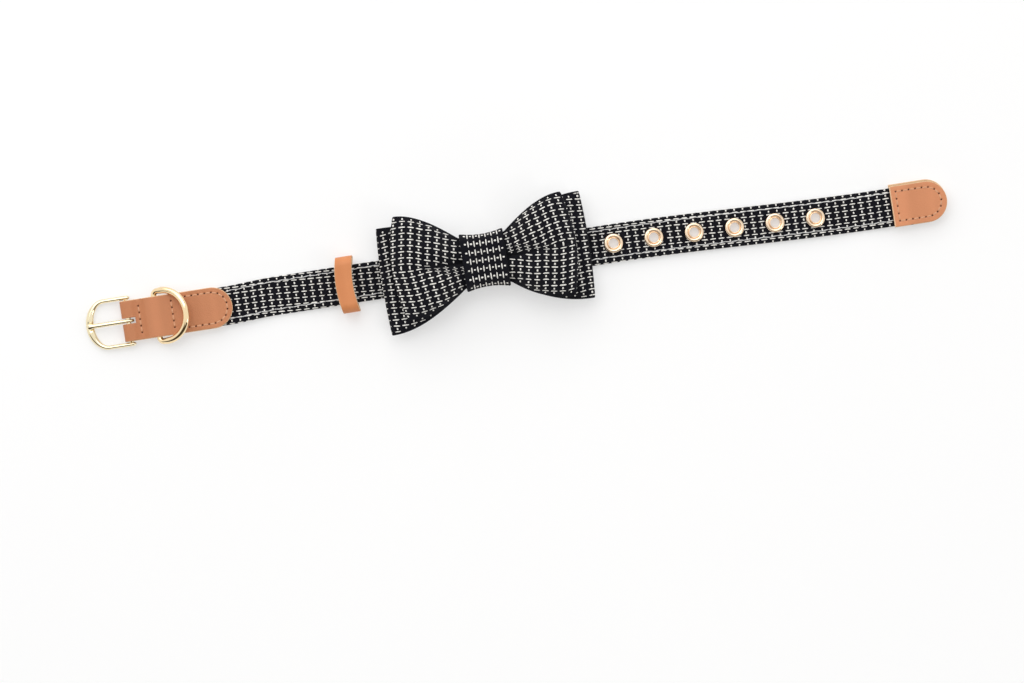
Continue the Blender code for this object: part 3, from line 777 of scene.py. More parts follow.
def end_tree(nodes, geometry, thread):
    painted = nodes.add("GeometryNodeSetMaterial", {}, {"Geometry": geometry, "Material": thread})
    nodes.add("NodeGroupOutput", {}, {"Geometry": painted.outputs[0]})
    return nodes.tree


def pill(nodes, length, width, height):
    """Half a round pill in few faces, lying along X, its underside open."""
    sheet = nodes.add("GeometryNodeMeshGrid", {}, {
        "Size X": 2.0, "Size Y": 2.0, "Vertices X": PILL_ALONG, "Vertices Y": PILL_ACROSS})
    p, q, _ = nodes.split(nodes.add("GeometryNodeInputPosition").outputs[0])
    along = (p * (math.pi / 2)).sine()
    across = q * (math.pi / 2)
    taper = (1.0 - along.size() ** 5.0).largest(0.0).root()
    place = nodes.join(along * length / 2, across.sine() * taper * width / 2,
                       across.cosine() * taper * height)
    return nodes.add("GeometryNodeSetPosition", {}, {
        "Geometry": Nodes.socket(sheet.outputs, "Mesh"), "Position": place}).outputs[0]


def sampled(nodes, cloth, kind, value, place):
    """A value of the cloth where its weave coordinates are those of place, and whether it is there."""
    made = nodes.add("GeometryNodeSampleUVSurface", {"data_type": kind}, {
        0: cloth, "Value": value, "UV Map": nodes.on_points("weave", "FLOAT_VECTOR"), "Sample UV": place})
    return nodes.value(made, "Value"), nodes.value(made, "Is Valid")


def chance(nodes, low, high, seed):
    made = nodes.add("FunctionNodeRandomValue", {"data_type": "FLOAT"}, {
        "Min": low, "Max": high, "Seed": seed})
    return nodes.value(made, "Value")


def float_tree():
    """Lays one short raised float of yarn at every crossing of columns and rows."""
    nodes, cloth, wish = new_tree("floats_of_yarn", (
        ("First column", "Float"), ("First row", "Float"), ("Columns", "Int"), ("Rows", "Int"),
        ("Column pitch", "Float"), ("Row pitch", "Float"), ("Length", "Float"), ("Width", "Float"),
        ("Height", "Float"), ("Most crowding", "Float"), ("Seed", "Int"), ("Thread", "Material")))
    span_u = (wish["Columns"] - 1.0) * wish["Column pitch"]
    span_v = (wish["Rows"] - 1.0) * wish["Row pitch"]
    lattice = nodes.add("GeometryNodeMeshGrid", {}, {
        "Size X": span_u, "Size Y": span_v, "Vertices X": wish["Columns"], "Vertices Y": wish["Rows"]})
    middle = nodes.join(wish["First column"] + span_u / 2, wish["First row"] + span_v / 2, 0.0)
    lattice = nodes.add("GeometryNodeTransform", {}, {
        "Geometry": Nodes.socket(lattice.outputs, "Mesh"), "Translation": middle})
    position = nodes.add("GeometryNodeInputPosition").outputs[0]
    crowding = nodes.on_points("crowding")
    crowded, whole = sampled(nodes, cloth, "FLOAT", crowding, position)
    for along, across in ((1, 1), (1, -1), (-1, 1), (-1, -1)):
        corner = nodes.add("ShaderNodeVectorMath", {"operation": "ADD"}, {
            0: position, 1: nodes.join(wish["Length"] * (along * FLOAT_REACH),
                                       wish["Width"] * (across * FLOAT_REACH), 0.0)})
        _, found = sampled(nodes, cloth, "FLOAT", crowding, corner.outputs[0])
        whole = whole * found
    hidden = crowded > wish["Most crowding"]
    kept = nodes.add("GeometryNodeDeleteGeometry", {"domain": "POINT", "mode": "ALL"}, {
        "Geometry": lattice.outputs[0], "Selection": (hidden + (1.0 - whole)) > 0.5})
    turn = chance(nodes, -FLOAT_TURN, FLOAT_TURN, wish["Seed"])
    swell = chance(nodes, 1 - FLOAT_SWELL, 1 + FLOAT_SWELL, wish["Seed"] + 1.0)
    laid = nodes.add("GeometryNodeInstanceOnPoints", {}, {
        "Points": kept.outputs[0], "Instance": pill(nodes, wish["Length"], wish["Width"], wish["Height"]),
        "Rotation": nodes.join(0.0, 0.0, turn), "Scale": nodes.join(swell, swell, 1.0)})
    real = nodes.add("GeometryNodeRealizeInstances", {}, {"Geometry": laid.outputs[0]})
    u, v, lift = nodes.split(position)
    place = nodes.join(u, v, 0.0)
    foot, _ = sampled(nodes, cloth, "FLOAT_VECTOR", position, place)
    outward, _ = sampled(nodes, cloth, "FLOAT_VECTOR", nodes.on_points("facing", "FLOAT_VECTOR"), place)
    raised = nodes.add("ShaderNodeVectorMath", {"operation": "MULTIPLY_ADD"}, {
        0: outward, 1: nodes.join(lift, lift, lift), 2: foot})
    moved = nodes.add("GeometryNodeSetPosition", {}, {
        "Geometry": real.outputs[0], "Position": raised.outputs[0]})
    return end_tree(nodes, moved.outputs[0], wish["Thread"])


def applied(name, carrier_mesh, tree, given):
    """The plain mesh that a tree makes from a carrier, as a new object."""
    carrier = new_object(name + "_carrier", carrier_mesh)
    modifier = carrier.modifiers.new("threads", "NODES")
    modifier.node_group = tree
    names = {item.name: item.identifier for item in tree.interface.items_tree if item.in_out == "INPUT"}
    for label, value in given.items():
        modifier[names[label]] = value
    mesh = evaluated_mesh(carrier)
    bpy.data.objects.remove(carrier)
    mesh.name = name
    mesh.shade_smooth()
    return new_object(name, mesh)


def joined(name, items):
    """One object from several meshes of one material."""
    builder = bmesh.new()
    for item in items:
        builder.from_mesh(item.data)
    mesh = items[0].data
    builder.to_mesh(mesh)
    builder.free()
    mesh.shade_smooth()
    mesh.name = name
    result = new_object(name, mesh)
    for item in items:
        bpy.data.objects.remove(item)
    return result


FLOAT_TREE = float_tree()


def woven_threads(name, points, normals, uv, crowding, wrap_columns=False):
    """The off-white floats on one face of cloth, given its outer surface."""
    carrier = grid_mesh(name + "_face", points, [], uv=uv, wrap_columns=wrap_columns,
                        point_values={"crowding": crowding})
    facing = carrier.data.attributes.new("facing", "FLOAT_VECTOR", "POINT")
    facing.data.foreach_set("vector", np.asarray(normals, np.float32).ravel())
    made = []
    for kind in (DASH, DOT):
        u_low = math.ceil((uv[..., 0].min() + kind.length / 2) / COLUMN_PITCH)
        u_high = math.floor((uv[..., 0].max() - kind.length / 2) / COLUMN_PITCH)
        v_low = math.ceil((uv[..., 1].min() + kind.width / 2) / ROW_PITCH - kind.row_shift)
        v_high = math.floor((uv[..., 1].max() - kind.width / 2) / ROW_PITCH - kind.row_shift)
        made.append(applied(f"{name}_{kind.name}", carrier.data, FLOAT_TREE, {
            "First column": u_low * COLUMN_PITCH, "First row": (v_low + kind.row_shift) * ROW_PITCH,
            "Columns": u_high - u_low + 1, "Rows": v_high - v_low + 1,
            "Column pitch": COLUMN_PITCH, "Row pitch": ROW_PITCH, "Length": kind.length,
            "Width": kind.width, "Height": kind.height, "Most crowding": MOST_CROWDING,
            "Seed": kind.seed, "Thread": PALE}))
    bpy.data.objects.remove(carrier)
    return joined(name, made)


# Strap

def strap_section():
    """Round the strap from the middle of its underside: across and up from its underside."""
    radius = STRAP_THICKNESS / 2
    flat = STRAP_WIDTH / 2 - radius
    half = STRAP_FACE_STEPS // 2
    turns = [math.pi * step / STRAP_EDGE_STEPS for step in range(1, STRAP_EDGE_STEPS)]
    points = [(-flat * step / half, 0.0) for step in range(half + 1)]
    points += [(-flat - radius * math.sin(turn), radius - radius * math.cos(turn)) for turn in turns]
    points += [(flat * (step / half - 1), STRAP_THICKNESS) for step in range(STRAP_FACE_STEPS + 1)]
    points += [(flat + radius * math.sin(turn), radius + radius * math.cos(turn)) for turn in turns]
    points += [(flat * (half - step) / half, 0.0) for step in range(half)]
    return np.array(points)


def off_grain(x):
    """How far the cloth's rows have slipped across the strap, which is cut a little off the grain."""
    return STRAP_ROW_SLOPE * x - STRAP_ROW_BEND * x ** 2 + STRAP_ROW_SHIFT


def strap():
    stations = np.linspace(STRAP_START, STRAP_END, round((STRAP_END - STRAP_START) / STRAP_STEP))
    section = strap_section()
    x = np.repeat(stations[:, None], len(section), axis=1)
    points = np.stack([x, strap_sideways(x) + section[:, 0], strap_height(x) + section[:, 1]], axis=-1)
    normals = grid_normals(points, wrap_columns=True)
    closed = np.concatenate([section, section[:1]])
    around = lengths_along(closed)
    around = around - around[-1] / 2
    u = np.repeat(stations[:, None], len(closed), axis=1) - STRAP_COLUMN_SHIFT
    v = around[None, :] + off_grain(u)
    uv = np.stack([u, v], axis=-1)
    relief = pillow(uv[:, :-1, 0], uv[:, :-1, 1])
    points = points + normals * (relief - PILLOW)[..., None]
    body = face_outwards(grid_mesh("strap_cloth", points, [BLACK], uv=uv, wrap_columns=True, caps=True))
    for x_hole in HOLE_PLACES:
        drill(body, x_hole)
    near = np.min([np.hypot(points[..., 0] - hole, points[..., 1] - strap_sideways(hole))
                   for hole in HOLE_PLACES], axis=0)
    crowding = np.where(near < EYELET_BARREL + FLOAT_ROOM, 2 * MOST_CROWDING, 1.0)
    threads = woven_threads("strap_threads", points, normals, uv, crowding, wrap_columns=True)
    return body, threads


def drill(body, x):
    """A clean round hole through the strap for an eyelet's barrel."""
    radius = EYELET_BARREL + GAP
    builder = bmesh.new()
    bmesh.ops.create_cone(builder, cap_ends=True, segments=HOLE_SIDES, radius1=radius, radius2=radius,
                          depth=10 * STRAP_THICKNESS)
    cut_away(body, "drill", builder, (x, float(strap_sideways(x)), 0.0))


# Eyelets

def turned(name, profile, place, material):
    """A ring turned from a closed profile of radii and heights."""
    angles = np.linspace(0, 2 * math.pi, EYELET_SIDES, endpoint=False)
    profile = np.array(profile)
    points = np.stack([
        place[0] + profile[None, :, 0] * np.cos(angles)[:, None],
        place[1] + profile[None, :, 0] * np.sin(angles)[:, None],
        place[2] + np.repeat(profile[None, :, 1], len(angles), axis=0)], axis=-1)
    item = grid_mesh(name, points, [material], wrap_rows=True, wrap_columns=True)
    return sharp_over(face_outwards(item), SHARP_EYELET_EDGE)


def eyelet_profile():
    """Round the ring: rolled rim, groove, inner lip, bore, rear flange and barrel."""
    seat = EYELET_SEAT + STRAP_THICKNESS + GAP
    shoulder = seat + EYELET_ROLL * ROLL_SHOULDER
    rise = EYELET_ROLL * (1 - ROLL_SHOULDER)
    roll_middle = (EYELET_FLANGE + EYELET_BORE) / 2 + LIP_RADIUS
    roll_half = EYELET_FLANGE - roll_middle
    points = []
    for turn in np.radians(range(-20, 181, 20)):
        points.append((roll_middle + roll_half * math.cos(turn), shoulder + rise * math.sin(turn)))
    points.append((roll_middle - roll_half * 0.96, seat + EYELET_ROLL * 0.16))
    for turn in np.radians((20, 60, 90, 120, 150, 180)):
        points.append((EYELET_BORE + LIP_RADIUS * (1 + math.cos(turn)), shoulder + LIP_RISE * math.sin(turn)))
    half_rear = EYELET_REAR_THICKNESS / 2
    inner_rear = EYELET_REAR_FLANGE - REAR_CHAMFER
    return points + [
        (EYELET_BORE, half_rear), (EYELET_BORE + REAR_CHAMFER, 0.0), (inner_rear, 0.0),
        (EYELET_REAR_FLANGE, half_rear), (inner_rear, EYELET_REAR_THICKNESS),
        (EYELET_BARREL, EYELET_REAR_THICKNESS), (EYELET_BARREL, seat),
        (EYELET_FLANGE - EYELET_ROLL * 0.1, seat)]


def eyelets():
    made = []
    for number, x in enumerate(HOLE_PLACES, start=1):
        place = (x, float(strap_sideways(x)), 0.0)
        made.append(turned(f"eyelet_ring_{number}", eyelet_profile(), place, ROSE_GOLD))
    return made


# Leather

Prick = namedtuple("Prick", "x y")
STITCH_PITCH = 0.00268
ROUND_ROUTE_STEPS = 90
PAD_INSET = 0.0020
TIP_INSET = 0.0023
BAR_ROW = 0.0048
RING_ROW = 0.0181
RING_TO_PAD = 0.0098
PRICK_ACROSS = 0.00036
PRICK_DEPTH = 0.0005
STITCH_LENGTH = 0.00190
STITCH_WIDTH = 0.00060
STITCH_HEIGHT = 0.00012
TOP_LINE_INSET = 0.0020
BOTTOM_LINE_INSET = 0.00245
LINE_START_TUCK = 0.002
LINE_END_TUCK = 0.001
TOP_STITCH_PITCH = 0.0026
TOP_STITCH_LENGTH = 0.0028
TOP_STITCH_WIDTH = 0.00040
TOP_STITCH_HEIGHT = 0.00040
TOP_STITCH_TURN = 7.0


def leather_places(start, end):
    """Stations along a leather piece with one half-round end, and half the width of its flat there."""
    flat = LEATHER_ROUND - EDGE_ROUNDING
    turns = np.linspace(0, math.pi / 2, END_STEPS + 1)[1:-1]
    turns = np.concatenate([turns, [math.pi / 2 - END_LAST_TURN]])
    straight = np.arange(start, end - LEATHER_ROUND, LEATHER_STEP)
    x = np.concatenate([straight, end - LEATHER_ROUND + flat * np.sin(turns)])
    return x, np.concatenate([np.full(len(straight), flat), flat * np.cos(turns)])


def stitch_dip(x):
    share = np.minimum(1.0, np.abs(x - BAR_X - BAR_TO_STITCH_DIP) / STITCH_DIP_REACH)
    return STITCH_DIP * np.cos(math.pi / 2 * share)


def buckle_face(x):
    """Height of the buckle leather's upper face."""
    return TOP_LEATHER_MIDDLE - stitch_dip(x) + LEATHER / 2


def tip_face(x):
    return TOP_LEATHER_MIDDLE + LEATHER / 2 + 0 * x


def pricked(points, pricks):
    """How deep in a stitch hole each point lies, from 0 to 1."""
    deep = np.zeros(points.shape[:2])
    for prick_shade in pricks:
        far = np.hypot(points[..., 0] - prick_shade.x, points[..., 1] - prick_shade.y)
        deep = np.maximum(deep, np.exp(-(far / PRICK_ACROSS) ** 2))
    return deep


def leather_strip(name, x, half_widths, levels, middle, pricks, is_top, grain_outside=True):
    """Leather through stations along it, with its cut edges, stitch holes and pale rough side."""
    columns = LEATHER_COLUMNS
    spread = np.linspace(-1, 1, columns)
    points = np.stack([np.repeat(x[:, None], columns, axis=1),
                       middle + half_widths[:, None] * spread[None, :],
                       np.repeat(levels[:, None], columns, axis=1)], axis=-1)
    deep = pricked(points, pricks) * is_top[:, None]
    sections = walled(points, grid_normals(points), LEATHER, -deep * PRICK_DEPTH, EDGE_ROUNDING)
    # Where the stitch holes are painted dark as shade.
    prick_shade_mask = np.zeros(sections.shape[:2])
    prick_shade_mask[:, :columns] = deep
    worn = np.zeros(sections.shape[:2])
    worn[:WORN_ROWS] = half_widths[0] > LEATHER_WIDTH / 4
    slots = section_slots(columns, 0, 1) if grain_outside else section_slots(columns, 1, 0)
    item = grid_mesh(name, sections, [TAN, CUT_EDGE], wrap_columns=True, column_slots=slots,
                     caps=section_caps(sections.shape[1], columns),
                     point_values={"prick_shade": prick_shade_mask, "worn": worn})
    return sharp_over(face_outwards(item), SHARP_EDGE)


def row_pricks(x, count=5):
    return [Prick(x, END_MIDDLE + STITCH_PITCH * (index - (count - 1) / 2)) for index in range(count)]


def outline_pricks(start, end, middle, inset):
    """Stitch holes a fixed inset inside a leather's edge, round its half-round end."""
    side = LEATHER_ROUND - inset
    turns = np.linspace(0, math.pi, ROUND_ROUTE_STEPS)
    route = np.stack([end - LEATHER_ROUND + side * np.sin(turns), middle + side * np.cos(turns)], axis=-1)
    route = np.concatenate([[[start, middle + side]], route, [[start, middle - side]]])
    travelled = lengths_along(route)
    marks = np.linspace(0, travelled[-1], round(travelled[-1] / STITCH_PITCH) + 1)
    places = zip(np.interp(marks, travelled, route[:, 0]), np.interp(marks, travelled, route[:, 1]))
    return [Prick(float(x), float(y)) for x, y in places]


def tip_stitch_holes():
    """Round the tip's outline from corner to corner, then back across its straight side."""
    start = TIP_LEATHER_START + TIP_INSET
    middle = float(strap_sideways(BOW_TO_TIP))
    side = LEATHER_ROUND - TIP_INSET
    across = [Prick(start, middle + side * share) for share in (-0.5, 0.0, 0.5)]
    return outline_pricks(start, BOW_TO_TIP, middle, TIP_INSET) + across


def buckle_leather():
    """One strip folded round the bar, with its stitch holes through the upper face."""
    x, half_widths = leather_places(BAR_X, BUCKLE_LEATHER_END)
    turns = np.radians(np.linspace(-90, -270, FOLD_STEPS)[1:-1])
    fold = np.ones(len(turns))
    along = np.concatenate([x[::-1], BAR_X + FOLD_RADIUS * np.cos(turns), x])
    levels = np.concatenate([np.full(len(x), LEATHER / 2), BAR_LEVEL + FOLD_RADIUS * np.sin(turns),
                             TOP_LEATHER_MIDDLE - stitch_dip(x)])
    widths = np.concatenate([half_widths[::-1], fold * half_widths[0], half_widths])
    is_top = np.concatenate([np.zeros(len(x)), fold * 0, np.ones(len(x))])
    rows = [row_pricks(BAR_X + BAR_ROW), row_pricks(BAR_X + RING_ROW),
            outline_pricks(RING_X + RING_TO_PAD, BUCKLE_LEATHER_END, END_MIDDLE, PAD_INSET)]
    strip = leather_strip("buckle_strap_leather", along, widths, levels, END_MIDDLE, sum(rows, []), is_top)
    cut_slot(strip)
    return strip, rows


def cut_slot(strip):
    """The slot that the prong comes through, cut at the fold."""
    reach = BAR_LEVEL + SLOT_REACH + GAP
    builder = bmesh.new()
    bmesh.ops.create_cube(builder, size=1.0)
    bmesh.ops.scale(builder, vec=(reach, SLOT_WIDTH, 4 * BAR_LEVEL), verts=builder.verts)
    cut_away(strip, "slot", builder, (BAR_X + SLOT_REACH - reach / 2, END_MIDDLE, BAR_LEVEL), CUT_EDGE)


def tip_leather(name, level, shift, pricks=()):
    """One of the two pieces sewn over the strap's free end; the one without stitch holes lies below."""
    x, half_widths = leather_places(TIP_LEATHER_START, BOW_TO_TIP)
    middle = float(strap_sideways(BOW_TO_TIP)) + shift
    return leather_strip(name, x, half_widths, np.full(len(x), level), middle, pricks,
                         np.ones(len(x)), grain_outside=bool(pricks))


def stitch_tree():
    """Lays one short stitch at each point of a mesh, along the point's own direction."""
    nodes, points, wish = new_tree("stitches", (
        ("Length", "Float"), ("Width", "Float"), ("Height", "Float"), ("Thread", "Material")))
    laid = nodes.add("GeometryNodeInstanceOnPoints", {}, {
        "Points": points, "Instance": pill(nodes, wish["Length"], wish["Width"], wish["Height"]),
        "Rotation": nodes.join(0.0, nodes.on_points("tilt"), nodes.on_points("turn"))})
    real = nodes.add("GeometryNodeRealizeInstances", {}, {"Geometry": laid.outputs[0]})
    return end_tree(nodes, real.outputs[0], wish["Thread"])


STITCH_TREE = stitch_tree()


def stitches(name, places, turns, tilts, length, width, height, thread):
    """Short raised stitches of one size at places with a direction each."""
    mesh = bpy.data.meshes.new(name + "_places")
    mesh.from_pydata((np.asarray(places) + np.array(BOW_PLACE)).tolist(), [], [])
    set_points(mesh, "turn", turns)
    set_points(mesh, "tilt", tilts)
    return applied(name, mesh, STITCH_TREE, {
        "Length": length, "Width": width, "Height": height, "Thread": thread})


def top_stitching(name, start, end):
    """Two wavy lines of thin grey thread along the strap's upper face."""
    places, turns, tilts = [], [], []
    for y in (STRAP_WIDTH / 2 - TOP_LINE_INSET, BOTTOM_LINE_INSET - STRAP_WIDTH / 2):
        count = round((end - start) / TOP_STITCH_PITCH)
        x = start + TOP_STITCH_PITCH * (np.arange(count) + 0.5)
        reach = TOP_STITCH_PITCH / 4
        lean = np.radians(TOP_STITCH_TURN) * (-1.0) ** np.arange(count)
        level = strap_height(x) + STRAP_THICKNESS - PILLOW / 2
        places += np.stack([x, y + strap_sideways(x), level], axis=-1).tolist()
        turns += (lean + (strap_sideways(x + reach) - strap_sideways(x - reach)) / (2 * reach)).tolist()
        tilts += (-(strap_height(x + reach) - strap_height(x - reach)) / (2 * reach)).tolist()
    return stitches(name, places, turns, tilts, TOP_STITCH_LENGTH, TOP_STITCH_WIDTH, TOP_STITCH_HEIGHT, GREY)


def leather_stitches(name, runs):
    """Thread between each two neighbouring stitch holes; runs holds rows of holes with their faces' level."""
    places, turns, tilts = [], [], []
    for pricks, level in runs:
        for before, after in zip(pricks, pricks[1:]):
            x = (before.x + after.x) / 2
            places.append((x, (before.y + after.y) / 2, float(level(x))))
            turns.append(math.atan2(after.y - before.y, after.x - before.x))
            tilts.append(0.0)
    return stitches(name, places, turns, tilts, STITCH_LENGTH, STITCH_WIDTH, STITCH_HEIGHT, STITCH)


def evenly(points, count):
    """Even steps along a route that ends where it starts, in the plane."""
    travelled = lengths_along(points)
    marks = np.linspace(0, travelled[-1], count + 1)[:-1]
    return np.stack([np.interp(marks, travelled, points[:, axis]) for axis in (0, 1)], axis=-1)


def rounded_loop(half_span, bottom, top, bottom_corner, top_corner, middle, turn_steps, steps):
    """Closed loop across and up, from the middle of its underside, anticlockwise seen along -X."""
    corners = (
        (half_span - bottom_corner, bottom + bottom_corner, bottom_corner, -90),
        (half_span - top_corner, top - top_corner, top_corner, 0),
        (-half_span + top_corner, top - top_corner, top_corner, 90),
        (-half_span + bottom_corner, bottom + bottom_corner, bottom_corner, 180),
    )
    points = [(middle, bottom)]
    for centre_y, centre_z, radius, start in corners:
        for step in range(turn_steps + 1):
            angle = math.radians(start + 90 * step / turn_steps)
            points.append((middle + centre_y + radius * math.cos(angle),
                           centre_z + radius * math.sin(angle)))
    return evenly(np.array(points + [(middle, bottom)]), steps)


def keeper_loop():
    """A leather band round the strap, bowed a little towards the buckle."""
    wall = LEATHER / 2
    half_span = KEEPER_SPAN / 2 - wall
    loop = rounded_loop(half_span, wall, KEEPER_HEIGHT - wall, KEEPER_CORNER, KEEPER_CORNER, 0.0,
                        KEEPER_TURN_STEPS, KEEPER_STEPS)
    y = loop[:, 0][:, None]
    spread = np.linspace(-1, 1, KEEPER_COLUMNS)
    half = KEEPER_WIDTH / 2 - EDGE_ROUNDING
    x = -KEEPER_TO_BOW + half * spread[None, :] - KEEPER_BOWING * (1 - (y / half_span) ** 2)
    points = np.stack([x, y + strap_sideways(x), np.repeat(loop[:, 1:], KEEPER_COLUMNS, axis=1)], -1)
    sections = walled(points, grid_normals(points, wrap_rows=True), LEATHER, np.zeros(x.shape),
                      EDGE_ROUNDING, wrap_rows=True)
    item = grid_mesh("keeper_band", sections, [KEEPER_TAN, CUT_EDGE], wrap_rows=True, wrap_columns=True,
                     column_slots=section_slots(KEEPER_COLUMNS, 0, 1))
    return sharp_over(face_outwards(item), SHARP_EDGE)


# Buckle, prong and ring

UP = np.array([0.0, 0.0, 1.0])


def swept(name, centres, outwards, ups, half_widths, half_heights, material, closed=False):
    """Metal of round or oval section along a line, with rounded ends when it isn't closed."""
    angles = np.linspace(0, 2 * math.pi, WIRE_SIDES, endpoint=False)
    cosine = np.cos(angles)[None, :, None]
    sine = np.sin(angles)[None, :, None]
    points = (centres[:, None, :] + outwards[:, None, :] * half_widths[:, None, None] * cosine
              + ups[:, None, :] * half_heights[:, None, None] * sine)
    item = grid_mesh(name, points, [material], wrap_rows=closed, wrap_columns=True, caps=not closed)
    return face_outwards(item)


def line_directions(centres, closed=False):
    """Sideways and upward unit vectors along a line that lies flat."""
    run = unit(differences(centres, 0, closed))
    ups = np.broadcast_to(UP, run.shape)
    return unit(np.cross(run, ups)), ups


def turned_about_bar(points, place, degrees):
    """Points given from an axis along Y, tilted about it and moved to their place."""
    angle = math.radians(degrees)
    x, y, z = points[..., 0], points[..., 1], points[..., 2]
    return np.stack([place[0] + x * math.cos(angle) + z * math.sin(angle), place[1] + y,
                     place[2] - x * math.sin(angle) + z * math.cos(angle)], axis=-1)


def tilted(centres, directions, place, degrees):
    """A line and its directions, both turned about a bar, the line moved to its place too."""
    origin = np.array(place)
    turned = [turned_about_bar(each, place, degrees) - origin for each in directions]
    return turned_about_bar(centres, place, degrees), *turned


BAR_PLACE = (BAR_X, END_MIDDLE, BAR_LEVEL)
FRAME_END_MIDDLE = FRAME_REACH - FRAME_END_WIDTH / 2
FRAME_TILT = -math.degrees(math.asin((BAR_LEVEL - FRAME_THICKNESS / 2) / FRAME_END_MIDDLE))


def fused(name, items, material):
    """One closed mesh from several that overlap."""
    base = items[0]
    for other in items[1:]:
        union = base.modifiers.new("union", "BOOLEAN")
        union.operation = "UNION"
        union.solver = "EXACT"
        union.object = other
    mesh = evaluated_mesh(base)
    mesh.name = name
    mesh.materials.clear()
    mesh.materials.append(material)
    mesh.shade_smooth()
    result = sharp_over(new_object(name, mesh), SHARP_EDGE)
    for item in items:
        bpy.data.objects.remove(item)
    return result


def round_ends(count, steps, most):
    """How wide a swept piece is along its line, from 0 to 1, as its two ends round off."""
    from_end = np.minimum(np.arange(count), np.arange(count)[::-1])
    return np.sqrt(1 - np.clip(1 - from_end / steps, 0, most) ** 2)


def buckle_frame():
    """Two slim arms, a broad rounded far end with a flat saddle for the prong, and the bar."""
    turn_start = FRAME_END_MIDDLE - FRAME_ROUND
    arm = np.linspace(FRAME_ARM_TAIL, -turn_start, FRAME_ARM_STEPS, endpoint=False)
    turn = np.linspace(0, math.pi, FRAME_TURN_STEPS)
    flat = np.ones(FRAME_ARM_STEPS)
    x = np.concatenate([arm, -turn_start - FRAME_ROUND * np.sin(turn), arm[::-1]])
    y = FRAME_ARM_Y * np.concatenate([flat, np.cos(turn), -flat])
    swell = np.concatenate([0 * flat, np.sin(turn) ** 2, 0 * flat])
    half_width = (FRAME_ARM_WIDTH + (FRAME_END_WIDTH - FRAME_ARM_WIDTH) * swell) / 2
    tail = round_ends(len(x), steps=3.0, most=0.97)
    saddle = SADDLE_DEPTH * smooth_step((SADDLE_HALF - np.abs(y)) / SADDLE_SLOPE + 0.5) * (swell > 0.5)
    centres = np.stack([x, y, -saddle / 2], axis=-1)
    rim = swept("rim", *tilted(centres, line_directions(centres), BAR_PLACE, FRAME_TILT),
                half_width * tail, (FRAME_THICKNESS - saddle) / 2 * tail, PALE_GOLD)
    bar = turned_about_bar(np.outer(np.linspace(-FRAME_ARM_Y, FRAME_ARM_Y, BAR_STEPS), [0.0, 1.0, 0.0]),
                           BAR_PLACE, FRAME_TILT)
    radius = np.full(BAR_STEPS, BAR_RADIUS)
    pin = swept("bar", bar, np.tile([1.0, 0.0, 0.0], (BAR_STEPS, 1)), np.tile(UP, (BAR_STEPS, 1)),
                radius, radius, PALE_GOLD)
    return fused("buckle_rim", [rim, pin], PALE_GOLD)


def prong():
    """Wire curled round the bar, then a shank whose flattened tip rests on the far end."""
    curl_radius = BAR_RADIUS + PRONG_CURL_CLEARANCE + PRONG_CURL_WIRE
    level = np.zeros(PRONG_CURL_STEPS)
    turn = np.radians(90 - PRONG_CURL_DEGREES * (1 - np.linspace(0, 1, PRONG_CURL_STEPS)))
    curl = np.stack([curl_radius * np.cos(turn), level, curl_radius * np.sin(turn)], axis=-1)
    tip_x = -(FRAME_REACH - PRONG_END_INSET)
    tip_z = FRAME_THICKNESS / 2 + GAP + PRONG_SHANK_WIRE
    shares = np.linspace(PRONG_SHANK_START, 1.0, PRONG_SHANK_STEPS)
    rise = (tip_z - curl_radius) * smooth_step(np.minimum(1, PRONG_RISE_RATE * shares))
    shank = np.stack([tip_x * shares, 0 * shares, curl_radius + rise], axis=-1)
    line = turned_about_bar(np.concatenate([curl, shank]), BAR_PLACE, FRAME_TILT)
    shank_wire = PRONG_SHANK_WIRE * PRONG_SWELL
    thick = np.interp(np.concatenate([level, shares]), PRONG_WIRE_SHARES,
                      [PRONG_CURL_WIRE, shank_wire, shank_wire, PRONG_TIP_WIRE])
    flattened = np.concatenate([level, smooth_step((shares - PRONG_TIP_START) / PRONG_TIP_RUN)])
    broad = thick * (1 + PRONG_TIP_SPREAD * flattened)
    cap = round_ends(len(line), steps=2.5, most=0.95)
    side = np.tile([0.0, 1.0, 0.0], (len(line), 1))
    ups = unit(np.cross(unit(np.gradient(line, axis=0)), side))
    return swept("prong_wire", line, side, ups, broad * cap, thick * cap, PALE_GOLD)


def ring_line():
    """Centre line of the ring in its own plane: out from its bar and across."""
    turn = math.pi * (0.5 - np.linspace(0, 1, RING_BOW_STEPS + 1))
    points = list(zip(RING_REACH - RING_HALF + RING_HALF * np.cos(turn), RING_HALF * np.sin(turn)))
    corner = np.radians(np.linspace(0, 90, RING_CORNER_STEPS + 1))
    for sign, turns in ((-1, corner), (1, corner[::-1])):
        points += [(RING_CORNER * (1 - math.sin(angle)),
                    sign * (RING_HALF - RING_CORNER * (1 - math.cos(angle)))) for angle in turns]
    return np.array(points + points[:1])


def ring_tilt():
    """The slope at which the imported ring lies, from its box."""
    low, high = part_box("d_ring")
    return math.degrees(math.asin((high.z - low.z - 2 * RING_WIRE) / RING_REACH))


def d_ring():
    flat = np.pad(evenly(ring_line(), RING_STEPS), ((0, 0), (0, 1)))
    line = tilted(flat, line_directions(flat, closed=True), (RING_X, END_MIDDLE, BAR_LEVEL), -ring_tilt())
    broad = RING_WIRE * (1 + RING_FLATTENING * smooth_step((flat[:, 0] - RING_CORNER) / RING_CORNER))
    return swept("leash_d_ring", *line, broad, np.full(RING_STEPS, RING_WIRE), GOLD, closed=True)


# Bow

def wing_share(layer, x):
    return np.clip((np.abs(x) - WAIST_HALF) / (layer.half_length - BOW_WALL / 2 - WAIST_HALF), 0.0, 1.0)


def knot_span(share):
    return KNOT_SPAN_MIDDLE + KNOT_FLARE * share ** 2


def waist_half_span(x):
    return knot_span(np.minimum(1.0, np.abs(x) / WAIST_HALF)) / 2 - KNOT_WALL - WAIST_CLEARANCE


